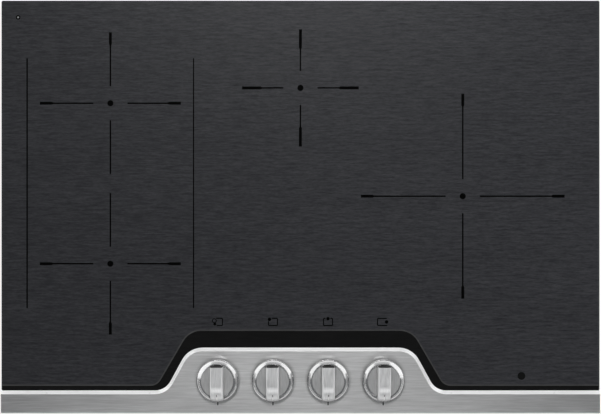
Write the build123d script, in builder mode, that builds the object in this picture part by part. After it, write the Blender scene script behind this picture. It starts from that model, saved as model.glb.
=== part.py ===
import os
from math import cos, radians, sin, sqrt

from build123d import *

os.makedirs("parts", exist_ok=True)

# Overall size, millimetres. The origin is under the middle of the burner box, +Y points to the back.
width = 781.0
depth = 538.0
plan_corner = 2.0
box_height = 94.0  # floor of the burner box to the underside of the glass
glass_thickness = 4.0
glass_bevel = 1.0

# Burner box of folded sheet
sheet = 1.0
side_overhang = 26.5  # glass past the side walls of the box
end_overhang = 27.0  # glass past the front and rear walls of the box
box_corner = 8.0
box_bend = 2.0
flange_reach = 20.0
flange_corner = 6.0
pad_radius = 8.0
pad_height = 5.0
vent_length = 36.0
vent_width = 4.0
vent_pitch = 10.0
vent_count = 14
vent_level = 60.0
vent_places = (-200.0, 80.0)

# Rim gasket under the flange
gasket_thickness = 2.0
gasket_width = 8.0
gasket_edge = 1.0

# Control trim of bent stainless sheet
trim_sheet = 1.2
trim_rise = 4.5  # height of the face above the glass, and width of the bevel
trim_clear = 0.5  # lower edge above the counter
trim_gap = 0.6  # joint between the trim and the glass
trim_edge = 1.5
wing_lap = 2.4  # rear edge of the wings behind the front wall of the box
hump_lap = 58.3  # rear edge of the hump behind the front wall of the box
hump_margin = 38.45  # straight top of the hump past the outer knob axes
hump_run = 30.5  # sideways run of the hump's flanks
hump_foot_radius = 22.5
hump_head_radius = 31.0
boss_radius = 4.0
stud_radius = 2.0
stud_length = 5.5
stud_offset = 4.5  # stud line in front of the box wall
stud_inset = 60.0  # outer studs from the ends of the trim
stud_margin = 20.0  # inner studs from the foot of the hump
nut_height = 3.0
nut_radius = 3.6

# Knobs
knob_count = 4
knob_pitch = 71.7
knob_inset = 16.8  # knob axis behind the front wall of the box
knob_gap = 3.0
knob_travel = 2.5
skirt_radius = 27.2
skirt_height = 9.6
skirt_lip = 5.8
lip_width = 0.8
lip_round = 0.25
flank_radius = 18.0
skirt_wall = 4.4
face_radius = 20.8
face_recess = 0.4
face_plate = 1.2
rim_land = 0.5
ledge_width = 1.3
grip_height = 15.9
grip_width = 15.6
grip_flare = 1.0
grip_back = 19.8
grip_flat = 2.0  # end of the flat top in front of the axis
grip_nose = 24.8
nose_blunt = 3.0
grip_chamfer = 1.2
hub_radius = 6.5
hub_rise = 5.0
bore_rise = 5.0  # blind end of the shaft bore above the face
seat_play = 0.05

# Shafts, seals and return springs
shaft_radius = 3.0
shaft_flat = 2.0
shaft_end_play = 0.3
running_play = 0.05
seal_play = 0.3
seal_radius = 11.0
seal_hole = 8.0
seal_lip = 1.1
collar_radius = 5.5
collar_height = 0.8
collar_gap = 0.4
spring_wire = 0.3
spring_radius = 4.6
spring_turns = 3.5

# Knob bracket and encoders
bracket_sheet = 1.5
bracket_drop = 11.0  # underside of the bracket plate below the glass
bracket_margin = 50.0  # left end past the first knob axis
bracket_end = 16.0  # right end past the indicator
bracket_back = 32.0  # rear edge behind the hump
bracket_flange = 18.0
bracket_screw_drop = 11.0
encoder_size = 24.0
encoder_corner = 1.5
encoder_height = 12.0
encoder_floor = 1.5
bushing_radius = 4.5
bushing_length = 8.0
encoder_nut = 7.5
encoder_nut_height = 2.5

# Interface board, displays and indicator
board_thickness = 1.6
interface_margin = 40.0
interface_depth = 30.0
display_offset = 11.0  # display line behind the hump
display_size = (24.0, 13.0)
glass_air = 0.2  # air between the glass and what lies below it
indicator_inset = (75.6, 21.0)  # from the right wall and the front wall of the box
indicator_radius = 5.0
indicator_foot = 8.0
indicator_foot_height = 1.5

# Cooking zones
left_zone_inset = 116.0  # both left zones from the left wall of the box
left_rear_inset = 107.0  # left rear zone from the rear wall
left_zone_pitch = 209.5  # left front zone in front of the left rear zone
centre_rear_place = 0.0
centre_rear_inset = 87.5
right_zone_inset = 151.6
right_zone_line = 13.5
zone_turns = {"left_rear": 15, "left_front": 15, "centre_rear": 12, "right": 24}
zone_bars = {"left_rear": 9, "left_front": 9, "centre_rear": 6, "right": 12}
winding_inner = 22.0
winding_pitch = 4.0
wire_radius = 1.7
mica_thickness = 1.0
mica_hole = 7.0
mica_inset = 2.0
former_thickness = 3.0
former_margin = 6.0
former_lip = 1.5
ferrite_width = 10.0
ferrite_height = 4.0
ferrite_start = 6.0  # inner end outside the winding's inner turn
sensor_radius = 5.5
sensor_play = 0.3
sensor_foot = 10.0
sensor_foot_height = 2.0
leaf_count = 3
leaf_inset = 18.0  # leaf spring inside the winding's outer turn
leaf_chord = 44.0
leaf_thickness = 0.6
leaf_width = 8.0

# Coil trays
tray_side_gap = 12.0  # outer edges from the side walls of the box
tray_rear_gap = 10.0
left_tray_reach = 106.0  # inner edge past the left zones
left_tray_front = 101.5  # front edge before the left front zone
right_tray_reach = 100.0  # inner edge past the centre rear zone
right_tray_front = 135.5  # front edge before the right zone
tray_sheet = 1.5
tray_drop = 28.0  # underside of the tray below the glass
tray_leg = 30.0
tray_foot = 18.0
foot_hole = 10.0  # screw from the outer face of the leg

# Coil leads: angle around the coil, distance from its centre
leads = {"left_rear": (300.0, 60.0), "left_front": (60.0, 60.0), "right": (75.0, 60.0)}
bent_lead = ("centre_rear", 330.0, 50.0)
bent_lead_level = 30.0
bent_lead_inset = 12.0
lead_radius = 2.2
lead_spread = 4.5
lead_bend = 8.0
lead_hole = 9.0

# Boards on the floor
board_size = (200.0, 180.0)
board_inset = 182.0  # middle of the generator boards from the rear wall
right_board_shift = 12.4  # middle of the right board left of the right zone
filter_size = (130.0, 110.0)
filter_inset = 122.0
board_screw_inset = 7.0
heatsink_offset = -52.0
heatsink_size = (76.0, 130.0)
heatsink_base = 5.0
heatsink_rise = 34.0
fin_count = 10
fin_thickness = 2.0
transistor_size = (16.0, 21.0, 5.0)
transistor_pitch = 40.0
transistor_count = 3
film_size = (26.0, 44.0, 36.0)
film_corner = 1.5
film_offsets = ((62.0, -45.0), (62.0, 10.0))
can_radius = 12.0
can_height = 40.0
can_offset = (62.0, 62.0)
choke_radius = 13.0
choke_wire = 6.0
choke_round = 2.0
choke_offset = (20.0, -57.0)
filter_chokes = ((-32.0, -22.0), (-32.0, 25.0))
filter_film = (15.0, -25.0)

# Cooling fans
fan_size = 92.0
fan_height = 25.0
fan_corner = 4.0
fan_offset = 175.0  # in front of the middle of the generator board
fan_screw_pitch = 82.5
fan_lug = 4.0
fan_bore = 44.0
motor_radius = 20.0
motor_plate = 4.0
strut_width = 5.0
strut_depth = 3.0
strut_root = 1.0  # struts run into the frame
axle_radius = 1.5
axle_length = 10.0
axle_end_gap = 1.0
rotor_hub = 19.0
rotor_gap = 2.0  # rotor above the floor pads
rotor_end_play = 0.5
rotor_tip_gap = 2.5
blade_root = 1.0  # blades run into the hub
blade_count = 7
blade_chord = 16.0
blade_thickness = 1.6
blade_pitch_angle = 35.0
grille_pitch = 8.0
grille_slot = 4.0
grille_rows = 10
grille_radius = 41.0
grille_web = 6.0

# Mains side
terminal_size = (60.0, 28.0, 22.0)
terminal_inset = (72.0, 36.0)  # from the right wall and the rear wall of the box
terminal_slot = (11.0, 16.0, 12.0)
terminal_pitch = 16.5
wire_count = 3
conduit_level = 38.0
conduit_bore = 11.1
conduit_neck = 14.0
conduit_flange = 18.0
conduit_flange_thickness = 3.0
conduit_depth = 12.0
mains_radius = 2.0
mains_pitch = 7.0
mains_level = 14.0
mains_bend = 6.0
mains_end = (50.0, 30.0)  # from the middle of the filter board

# Control ribbon
ribbon_inset = 20.0  # from the left end of the right board
ribbon_width = 20.0
ribbon_thickness = 1.0
ribbon_level = 16.0
ribbon_bend = 6.0
ribbon_start = 10.0  # behind the display line
ribbon_end = 10.0  # behind the front edge of the generator board
ribbon_slot = (24.0, 5.0)

# Hold-down brackets and fasteners
hold_down_line = 120.0
hold_down_width = 30.0
hold_down_sheet = 2.0
hold_down_level = 12.0
hold_down_height = 40.0
hold_down_reach = 24.0
hold_down_screw = 28.0
clamp_offset = 14.0
clamp_radius = 2.5
clamp_low = 6.0
clamp_head = 5.0
clamp_head_height = 4.0
clamp_length = 40.0
clamp_pad = 6.0
clamp_pad_height = 3.0
screw_radius = 1.7
screw_hole = 1.8
screw_head = 3.4
screw_head_height = 2.0
screw_length = 5.0
boss_screw_depth = 8.0

# Levels and lines worked out from the sizes above
glass_under = box_height
glass_face = glass_under + glass_thickness
trim_face = glass_face + trim_rise
counter_level = box_height - sheet - gasket_thickness
trim_base = counter_level + trim_clear
front_edge = -depth / 2
wall_side = width / 2 - side_overhang
wall_rear = depth / 2 - end_overhang
wall_front = -wall_rear
box_width = 2 * wall_side
box_depth = 2 * wall_rear
wing_line = wall_front + wing_lap
hump_line = wall_front + hump_lap
knob_line = wall_front + knob_inset
knob_places = [(step - (knob_count - 1) / 2) * knob_pitch for step in range(knob_count)]
hump_head = knob_places[-1] + hump_margin
hump_foot = hump_head + hump_run
knob_base = trim_face + knob_gap
face_level = knob_base + skirt_height
cap_level = face_level - face_recess
grip_level = face_level + grip_height
hub_base = knob_base + hub_rise
plate_under = glass_under - bracket_drop
plate_top = plate_under + bracket_sheet
display_line = hump_line + display_offset
interface_top = plate_top + board_thickness
below_glass = glass_under - glass_air
stud_line = wall_front - stud_offset
boss_places = [(side * knob_pitch, knob_line) for side in (-1, 1)]
stud_reaches = (width / 2 - stud_inset, hump_foot + stud_margin)
stud_places = [(side * reach, stud_line) for side in (-1, 1) for reach in stud_reaches]
indicator_place = (wall_side - indicator_inset[0], wall_front + indicator_inset[1])
mica_under = below_glass - mica_thickness
winding_level = mica_under - glass_air - wire_radius
former_top = winding_level - wire_radius - glass_air
former_under = former_top - former_thickness
tray_level = glass_under - tray_drop
tray_top = tray_level + tray_sheet
board_top = pad_height + board_thickness
pad_hollow = pad_height - sheet
hold_down_face = wall_side + hold_down_sheet
clamp_line = wall_side + clamp_offset
near = 0.01  # how closely an edge or corner is picked by its place
upright = (Align.CENTER, Align.CENTER, Align.MIN)

# Zone centres from the walls of the box
left_zone_place = left_zone_inset - wall_side
left_rear_line = wall_rear - left_rear_inset
zones = {
    "left_rear": (left_zone_place, left_rear_line),
    "left_front": (left_zone_place, left_rear_line - left_zone_pitch),
    "centre_rear": (centre_rear_place, wall_rear - centre_rear_inset),
    "right": (wall_side - right_zone_inset, right_zone_line),
}

# Coil trays: left edge, right edge, front edge, rear edge
tray_rear = wall_rear - tray_rear_gap
tray_outer = wall_side - tray_side_gap
left_tray_edges = (left_zone_place + left_tray_reach, zones["left_front"][1] - left_tray_front)
right_tray_edges = (centre_rear_place - right_tray_reach, right_zone_line - right_tray_front)
trays = {
    "left": (-tray_outer, *left_tray_edges, tray_rear),
    "right": (right_tray_edges[0], tray_outer, right_tray_edges[1], tray_rear),
}

# Boards, fans and the mains side on the floor of the box
board_line = wall_rear - board_inset
right_board_place = zones["right"][0] - right_board_shift
board_places = {"left": (left_zone_place, board_line), "right": (right_board_place, board_line)}
fan_places = {name: (x, y - fan_offset) for name, (x, y) in board_places.items()}
filter_place = ((left_zone_place + right_board_place) / 2, wall_rear - filter_inset)
terminal_place = (wall_side - terminal_inset[0], wall_rear - terminal_inset[1])
ribbon_place = right_board_place - board_size[0] / 2 + ribbon_inset


def winding_outer(zone):
    return winding_inner + zone_turns[zone] * winding_pitch


def around(zone, angle, reach):
    # point at an angle and distance around a zone's centre
    x, y = zones[zone]
    return x + reach * cos(radians(angle)), y + reach * sin(radians(angle))


def corners(place, pitch_x, pitch_y):
    # four points in a rectangle around a place
    x, y = place
    return [(x + a * pitch_x / 2, y + b * pitch_y / 2) for a in (-1, 1) for b in (-1, 1)]


def tray_feet(name):
    # screw points of a tray's four feet
    left, right, front, rear = trays[name]
    middle = ((left + right) / 2, (front + rear) / 2)
    return corners(middle, right - left - 2 * foot_hole, rear - front - tray_leg)


def board_screws(place, size):
    return corners(place, size[0] - 2 * board_screw_inset, size[1] - 2 * board_screw_inset)


feet_screws = tray_feet("left") + tray_feet("right")
board_points = [point for place in board_places.values() for point in board_screws(place, board_size)]
board_points += board_screws(filter_place, filter_size)
fan_screws = {name: corners(place, fan_screw_pitch, fan_screw_pitch) for name, place in fan_places.items()}
fan_points = fan_screws["left"] + fan_screws["right"]
pads = feet_screws + board_points + fan_points
lead_places = {zone: around(zone, *route) for zone, route in leads.items()}
bent_lead_place = around(*bent_lead)
bent_lead_end = board_places["right"][0] - board_size[0] / 2 + bent_lead_inset
bracket_screws = [(step * knob_pitch, plate_under - bracket_screw_drop) for step in (-2, -1, 1, 2)]


# Control trim: plan outline, run past the front and both ends by a margin that is cut off later
trim_margin = 4 * trim_rise


def trim_plan():
    with BuildSketch() as plan:
        with BuildLine():
            Polyline(
                (-width / 2 - trim_margin, front_edge - trim_margin),
                (width / 2 + trim_margin, front_edge - trim_margin),
                (width / 2 + trim_margin, wing_line),
                (hump_foot, wing_line),
                (hump_head, hump_line),
                (-hump_head, hump_line),
                (-hump_foot, wing_line),
                (-width / 2 - trim_margin, wing_line),
                close=True,
            )
        make_face()
        fillet(plan.vertices().filter_by(lambda v: abs(v.Y - hump_line) < near), hump_head_radius)
        fillet(plan.vertices().filter_by(lambda v: abs(abs(v.X) - hump_foot) < near), hump_foot_radius)
    return plan.sketch


# Control trim: a bevelled shell, open below, with bosses and studs under its face
bevel_drop = trim_sheet * (sqrt(2) - 1)
with BuildPart() as control_trim:
    with BuildSketch(Plane.XY.offset(trim_base)):
        add(trim_plan())
    extrude(amount=glass_face - trim_base)
    with BuildSketch(Plane.XY.offset(glass_face)):
        add(trim_plan())
    extrude(amount=trim_rise, taper=45)
    with BuildSketch(Plane.XY.offset(trim_base)):
        RectangleRounded(width, depth, plan_corner)
    extrude(amount=trim_face - trim_base, mode=Mode.INTERSECT)
    face_edges = control_trim.faces().sort_by(Axis.Z)[-1].edges()
    fillet(face_edges.filter_by(lambda e: e.center().Y < wing_line - trim_rise - trim_edge), trim_edge)
    with BuildSketch(Plane.XY.offset(trim_base)) as trim_hollow:
        offset(trim_plan(), amount=-trim_sheet)
        Rectangle(width - 2 * trim_sheet, depth - 2 * trim_sheet, mode=Mode.INTERSECT)
    extrude(amount=glass_face - bevel_drop - trim_base, mode=Mode.SUBTRACT)
    with BuildSketch(Plane.XY.offset(glass_face - bevel_drop)):
        add(trim_hollow.sketch_local)
    extrude(amount=trim_rise - trim_sheet + bevel_drop, taper=45, mode=Mode.SUBTRACT)
    with BuildSketch(Plane.XY.offset(trim_base)):
        Rectangle(width - 2 * trim_sheet, depth - 2 * trim_sheet)
    extrude(amount=glass_under - trim_base, mode=Mode.SUBTRACT)
    with BuildSketch(Plane.XY.offset(glass_under)):
        with Locations(*stud_places):
            Circle(boss_radius)
    extrude(amount=trim_face - trim_sheet - glass_under)
    with BuildSketch(Plane.XY.offset(glass_under - stud_length)):
        with Locations(*stud_places):
            Circle(stud_radius)
    extrude(amount=stud_length)
    with BuildSketch(Plane.XY.offset(plate_top)):
        with Locations(*boss_places):
            Circle(boss_radius)
    extrude(amount=trim_face - trim_sheet - plate_top)
    with BuildSketch(Plane.XY.offset(plate_top)):
        with Locations(*boss_places):
            Circle(screw_hole)
    extrude(amount=boss_screw_depth, mode=Mode.SUBTRACT)
    with BuildSketch(Plane.XY.offset(trim_face - trim_sheet)):
        with Locations(*[(x, knob_line) for x in knob_places]):
            Circle(seal_hole)
    extrude(amount=trim_sheet, mode=Mode.SUBTRACT)
control_trim.part.label = "control_trim"
export_step(control_trim.part, "parts/control_trim.step")

# Glass top, cut out at the front for the trim
with BuildPart() as glass_top:
    with BuildSketch(Plane.XY.offset(glass_under)):
        RectangleRounded(width, depth, plan_corner)
        offset(trim_plan(), amount=trim_gap, mode=Mode.SUBTRACT)
    extrude(amount=glass_thickness)
    face_edges = glass_top.faces().sort_by(Axis.Z)[-1].edges()
    outer_edges = face_edges.filter_by(
        lambda e: max(abs(e.center().X) - width / 2, abs(e.center().Y) - depth / 2) > -plan_corner
    )
    chamfer(outer_edges, glass_bevel)
glass_top.part.label = "glass_top"
export_step(glass_top.part, "parts/glass_top.step")

# Burner box with raised screw pads, fan grilles, rear vents and the conduit hole
with BuildPart() as burner_box:
    with BuildSketch():
        RectangleRounded(box_width, box_depth, box_corner)
    extrude(amount=glass_under)
    fillet(burner_box.faces().sort_by(Axis.Z)[0].edges(), box_bend)
    with BuildSketch(Plane.XY.offset(sheet)):
        RectangleRounded(box_width - 2 * sheet, box_depth - 2 * sheet, box_corner - sheet)
    extrude(amount=glass_under, mode=Mode.SUBTRACT)
    with BuildSketch(Plane.XY.offset(glass_under - sheet)):
        RectangleRounded(box_width + 2 * flange_reach, box_depth + 2 * flange_reach, flange_corner)
        RectangleRounded(box_width - sheet, box_depth - sheet, box_corner - sheet / 2, mode=Mode.SUBTRACT)
        with Locations(*stud_places):
            Circle(stud_radius + seal_play, mode=Mode.SUBTRACT)
    extrude(amount=sheet)
    with BuildSketch():
        with Locations(*pads):
            Circle(pad_radius)
    extrude(amount=pad_height)
    with BuildSketch():
        with Locations(*pads):
            Circle(pad_radius - sheet)
    extrude(amount=pad_hollow, mode=Mode.SUBTRACT)
    with BuildSketch():
        with Locations(*pads):
            Circle(screw_hole)
        for place in fan_places.values():
            for row in range(grille_rows):
                across = (row - (grille_rows - 1) / 2) * grille_pitch
                half = sqrt(grille_radius**2 - across**2)
                slot = half - grille_web / 2
                for side in (-1, 1):
                    with Locations((place[0] + side * (half + grille_web / 2) / 2, place[1] + across)):
                        SlotOverall(slot, grille_slot)
    extrude(amount=pad_height, mode=Mode.SUBTRACT)
    with BuildSketch(Plane.XZ.offset(wall_front)):
        for centre in vent_places:
            with Locations((centre, vent_level)):
                with GridLocations(vent_pitch, 1, vent_count, 1):
                    SlotOverall(vent_length, vent_width, rotation=90)
        with Locations((terminal_place[0], conduit_level)):
            Circle(conduit_neck)
    extrude(amount=sheet, mode=Mode.SUBTRACT)
    with BuildSketch(Plane.XZ.offset(-wall_front)):
        with Locations(*bracket_screws):
            Circle(screw_hole)
    extrude(amount=-sheet, mode=Mode.SUBTRACT)
    with BuildSketch(Plane.YZ):
        with Locations(*[(side * hold_down_line, hold_down_level + hold_down_screw) for side in (-1, 1)]):
            Circle(screw_hole)
    extrude(amount=box_width, both=True, mode=Mode.SUBTRACT)
burner_box.part.label = "burner_box"
export_step(burner_box.part, "parts/burner_box.step")

# Foam gasket ring under the flange, resting on the counter
gasket_long = box_width + 2 * (flange_reach - gasket_edge)
gasket_short = box_depth + 2 * (flange_reach - gasket_edge)
with BuildPart() as rim_gasket:
    with BuildSketch(Plane.XY.offset(counter_level)):
        RectangleRounded(gasket_long, gasket_short, flange_corner)
        Rectangle(gasket_long - 2 * gasket_width, gasket_short - 2 * gasket_width, mode=Mode.SUBTRACT)
    extrude(amount=gasket_thickness)
rim_gasket.part.label = "rim_gasket"
export_step(rim_gasket.part, "parts/rim_gasket.step")

# Knob bracket: a plate under the trim with a front flange on the box wall and a rear flange under the glass
bracket_left = knob_places[0] - bracket_margin
bracket_span = indicator_place[0] + bracket_end - bracket_left
bracket_front = wall_front + sheet
bracket_rear = hump_line + bracket_back
with BuildPart() as knob_bracket:
    with BuildSketch(Plane.YZ.offset(bracket_left)):
        with BuildLine():
            Polyline(
                (bracket_front, plate_top - bracket_flange),
                (bracket_front + bracket_sheet, plate_top - bracket_flange),
                (bracket_front + bracket_sheet, plate_under),
                (bracket_rear, plate_under),
                (bracket_rear, glass_under),
                (bracket_rear - bracket_sheet, glass_under),
                (bracket_rear - bracket_sheet, plate_top),
                (bracket_front, plate_top),
                close=True,
            )
        make_face()
    extrude(amount=bracket_span)
    with BuildSketch(Plane.XY.offset(plate_under)):
        with Locations(*[(x, knob_line) for x in knob_places]):
            Circle(bushing_radius + running_play)
        with Locations(*boss_places):
            Circle(screw_hole)
        with Locations((ribbon_place, display_line + ribbon_start)):
            Rectangle(*ribbon_slot)
    extrude(amount=bracket_sheet, mode=Mode.SUBTRACT)
    with BuildSketch(Plane.XZ.offset(-bracket_front)):
        with Locations(*bracket_screws):
            Circle(screw_hole)
    extrude(amount=-bracket_sheet, mode=Mode.SUBTRACT)
knob_bracket.part.label = "knob_bracket"
export_step(knob_bracket.part, "parts/knob_bracket.step")

# Rotary encoders hanging under the bracket, one to a knob
with BuildPart() as encoders:
    with BuildSketch(Plane.XY.offset(plate_under - encoder_height)):
        with Locations(*[(x, knob_line) for x in knob_places]):
            RectangleRounded(encoder_size, encoder_size, encoder_corner)
    extrude(amount=encoder_height)
    with BuildSketch(Plane.XY.offset(plate_under)):
        with Locations(*[(x, knob_line) for x in knob_places]):
            Circle(bushing_radius)
    extrude(amount=bushing_length)
    with BuildSketch(Plane.XY.offset(plate_top)):
        with Locations(*[(x, knob_line) for x in knob_places]):
            RegularPolygon(encoder_nut, 6)
    extrude(amount=encoder_nut_height)
    with BuildSketch(Plane.XY.offset(plate_under - encoder_height + encoder_floor)):
        with Locations(*[(x, knob_line) for x in knob_places]):
            Circle(shaft_radius + running_play)
    extrude(amount=encoder_height + bushing_length, mode=Mode.SUBTRACT)
encoders.part.label = "encoders"
export_step(encoders.part, "parts/encoders.step")

# Silicone seals gripping the trim around each shaft
with BuildPart() as seal_shape:
    with BuildSketch(Plane.XZ):
        with BuildLine():
            Polyline(
                (shaft_radius + seal_play, trim_face - trim_sheet - seal_lip),
                (seal_radius, trim_face - trim_sheet - seal_lip),
                (seal_radius, trim_face - trim_sheet),
                (seal_hole, trim_face - trim_sheet),
                (seal_hole, trim_face),
                (seal_radius, trim_face),
                (seal_radius, trim_face + seal_lip),
                (shaft_radius + seal_play, trim_face + seal_lip),
                close=True,
            )
        make_face()
    revolve(axis=Axis.Z)
with BuildPart() as shaft_seals:
    with Locations(*[(x, knob_line) for x in knob_places]):
        add(seal_shape.part)
shaft_seals.part.label = "shaft_seals"
export_step(shaft_seals.part, "parts/shaft_seals.step")

# Knob shaft: round in the encoder, with a collar for the spring and a flat inside the knob
shaft_low = plate_under - encoder_height + encoder_floor
bore_top = face_level + bore_rise
shaft_high = bore_top - knob_travel - shaft_end_play
collar_low = trim_face + seal_lip + collar_gap
collar_top = collar_low + collar_height


def flatted_circle(radius, flat):
    with BuildSketch() as outline:
        Circle(radius)
        with Locations((0, flat + radius)):
            Rectangle(2 * radius, 2 * radius, mode=Mode.SUBTRACT)
    return outline.sketch


with BuildPart() as shaft_shape:
    with BuildSketch(Plane.XY.offset(shaft_low)):
        Circle(shaft_radius)
    extrude(amount=collar_top - shaft_low)
    with BuildSketch(Plane.XY.offset(collar_low)):
        Circle(collar_radius)
    extrude(amount=collar_height)
    with BuildSketch(Plane.XY.offset(collar_top)):
        add(flatted_circle(shaft_radius, shaft_flat))
    extrude(amount=shaft_high - collar_top)

# Return spring between the shaft's collar and the knob's hub
spring_low = collar_top + spring_wire + running_play
spring_rise = hub_base - spring_wire - running_play - spring_low
with BuildPart() as spring_shape:
    with BuildLine() as curl:
        Helix(spring_rise / spring_turns, spring_rise, spring_radius, center=(0, 0, spring_low))
    with BuildSketch(Plane(origin=curl.line @ 0, z_dir=curl.line % 0)):
        Circle(spring_wire)
    sweep(is_frenet=True)


# Knob skirt: outer line of the rounded ring, from its base to its upper rim
def skirt_line():
    with BuildLine() as edge:
        lip = Polyline(
            (skirt_radius, knob_base),
            (skirt_radius, knob_base + skirt_lip),
            (skirt_radius - lip_width, knob_base + skirt_lip),
        )
        flank = RadiusArc(lip @ 1, (face_radius + rim_land, face_level), -flank_radius)
        Line(flank @ 1, (face_radius, face_level))
    return edge.line


ledge_level = cap_level - face_plate
with BuildPart() as skirt_shape:
    with BuildSketch(Plane.XZ) as skirt_section:
        with BuildLine():
            add(skirt_line())
            Polyline(
                (face_radius, face_level),
                (face_radius, ledge_level),
                (face_radius - ledge_width, ledge_level),
                (face_radius - ledge_width, ledge_level - face_plate),
                (skirt_radius - skirt_wall, knob_base + skirt_lip),
                (skirt_radius - skirt_wall, knob_base),
                (skirt_radius, knob_base),
            )
        make_face()
        lip_corner = skirt_section.vertices().filter_by(lambda v: abs(v.Y - knob_base - skirt_lip) < near)
        fillet(lip_corner.sort_by(Axis.X)[-1], lip_round)
    revolve(axis=Axis.Z)

# Knob cap: the round face, the grip bar that runs down over the front of the skirt, and the hub
grip_half = grip_width / 2 + grip_flare
nose_level = knob_base + skirt_lip + running_play
with BuildPart() as cap_shape:
    with BuildSketch(Plane.YZ):
        with BuildLine():
            side = Polyline(
                (-grip_nose, nose_level + nose_blunt),
                (-grip_nose, nose_level),
                (grip_back, nose_level),
                (grip_back, grip_level),
                (-grip_flat, grip_level),
            )
            TangentArc(side @ 1, side @ 0, tangent=(-1, 0))
        make_face()
    extrude(amount=grip_half, both=True)
    with BuildSketch(Plane.XZ):
        with BuildLine():
            Polyline(
                (-grip_half, nose_level),
                (grip_half, nose_level),
                (grip_width / 2, grip_level),
                (-grip_width / 2, grip_level),
                close=True,
            )
        make_face()
    extrude(amount=2 * grip_nose, both=True, mode=Mode.INTERSECT)
    top_faces = cap_shape.faces().filter_by(lambda f: f.normal_at().Z > near and abs(f.normal_at().X) < near)
    long_edges = top_faces.edges().filter_by(lambda e: abs(e.center().X) > grip_width / 4)
    chamfer(long_edges, grip_chamfer)
    with BuildSketch(Plane.XZ):
        with BuildLine():
            add(skirt_line())
            Polyline(
                (face_radius, face_level),
                (face_radius, cap_level),
                (0, cap_level),
                (0, knob_base),
                (skirt_radius, knob_base),
            )
        make_face()
    revolve(axis=Axis.Z, mode=Mode.SUBTRACT)
    with BuildSketch(Plane.XY.offset(ledge_level)):
        Circle(face_radius - seat_play)
    extrude(amount=face_plate)
    with BuildSketch(Plane.XY.offset(hub_base)):
        Circle(hub_radius)
    extrude(amount=ledge_level - hub_base)
    with BuildSketch(Plane.XY.offset(hub_base)):
        add(flatted_circle(shaft_radius + running_play, shaft_flat + running_play))
    extrude(amount=bore_top - hub_base, mode=Mode.SUBTRACT)

for number, x in enumerate(knob_places, 1):
    with BuildPart() as knob_shaft:
        with Locations((x, knob_line)):
            add(shaft_shape.part)
    knob_shaft.part.label = f"knob_shaft_{number}"
    export_step(knob_shaft.part, f"parts/knob_shaft_{number}.step")
    with BuildPart() as return_spring:
        with Locations((x, knob_line)):
            add(spring_shape.part)
    return_spring.part.label = f"return_spring_{number}"
    export_step(return_spring.part, f"parts/return_spring_{number}.step")
    with BuildPart() as knob_skirt:
        with Locations((x, knob_line)):
            add(skirt_shape.part)
    knob_skirt.part.label = f"knob_skirt_{number}"
    export_step(knob_skirt.part, f"parts/knob_skirt_{number}.step")
    with BuildPart() as knob_cap:
        with Locations((x, knob_line)):
            add(cap_shape.part)
    knob_cap.part.label = f"knob_cap_{number}"
    export_step(knob_cap.part, f"parts/knob_cap_{number}.step")

# Interface board on the bracket
interface_width = knob_places[-1] - knob_places[0] + 2 * interface_margin
with BuildPart() as interface_board:
    with BuildSketch(Plane.XY.offset(plate_top)):
        with Locations((0, display_line)):
            Rectangle(interface_width, interface_depth)
    extrude(amount=board_thickness)
interface_board.part.label = "interface_board"
export_step(interface_board.part, "parts/interface_board.step")

# Level displays, one behind each knob, under the black band of the glass
with BuildPart() as level_displays:
    with BuildSketch(Plane.XY.offset(interface_top)):
        with Locations(*[(x, display_line) for x in knob_places]):
            Rectangle(*display_size)
    extrude(amount=below_glass - interface_top)
level_displays.part.label = "level_displays"
export_step(level_displays.part, "parts/level_displays.step")

# Indicator light guide, standing on the bracket
with BuildPart() as indicator_lens:
    with BuildSketch(Plane.XY.offset(plate_top)):
        with Locations(indicator_place):
            Circle(indicator_foot)
    extrude(amount=indicator_foot_height)
    with BuildSketch(Plane.XY.offset(plate_top)):
        with Locations(indicator_place):
            Circle(indicator_radius)
    extrude(amount=below_glass - plate_top)
indicator_lens.part.label = "indicator_lens"
export_step(indicator_lens.part, "parts/indicator_lens.step")

# Coil formers and windings, one of each to a zone
for zone, (x, y) in zones.items():
    former_radius = winding_outer(zone) + former_margin
    with BuildPart() as coil_former:
        with BuildSketch(Plane.XY.offset(former_under)):
            with Locations((x, y)):
                Circle(former_radius)
                Circle(sensor_radius + sensor_play, mode=Mode.SUBTRACT)
        extrude(amount=former_thickness)
        with BuildSketch(Plane.XY.offset(former_top)):
            with Locations((x, y)):
                Circle(former_radius)
                Circle(former_radius - former_lip, mode=Mode.SUBTRACT)
        extrude(amount=2 * wire_radius)
    coil_former.part.label = f"coil_former_{zone}"
    export_step(coil_former.part, f"parts/coil_former_{zone}.step")
    # each half turn is an arc about one of two centres half a pitch apart
    with BuildPart() as winding:
        with BuildLine() as spiral:
            for half in range(2 * zone_turns[zone]):
                turn_centre = (x + (half % 2) * winding_pitch / 2, y, winding_level)
                turn_radius = winding_inner + half * winding_pitch / 2
                CenterArc(turn_centre, turn_radius, 180 * (1 - half % 2), 180)
        start = (x - winding_inner, y, winding_level)
        with BuildSketch(Plane(origin=start, x_dir=(1, 0, 0), z_dir=(0, -1, 0))):
            Circle(wire_radius)
        sweep()
    winding.part.label = f"winding_{zone}"
    export_step(winding.part, f"parts/winding_{zone}.step")
print("least gap between winding turns", round(winding_pitch - 2 * wire_radius, 3), "mm")

# Mica discs between the windings and the glass
with BuildPart() as mica_discs:
    with BuildSketch(Plane.XY.offset(mica_under)):
        for zone, place in zones.items():
            with Locations(place):
                Circle(winding_outer(zone) + former_margin - mica_inset)
                Circle(mica_hole, mode=Mode.SUBTRACT)
    extrude(amount=mica_thickness)
mica_discs.part.label = "mica_discs"
export_step(mica_discs.part, "parts/mica_discs.step")

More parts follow.
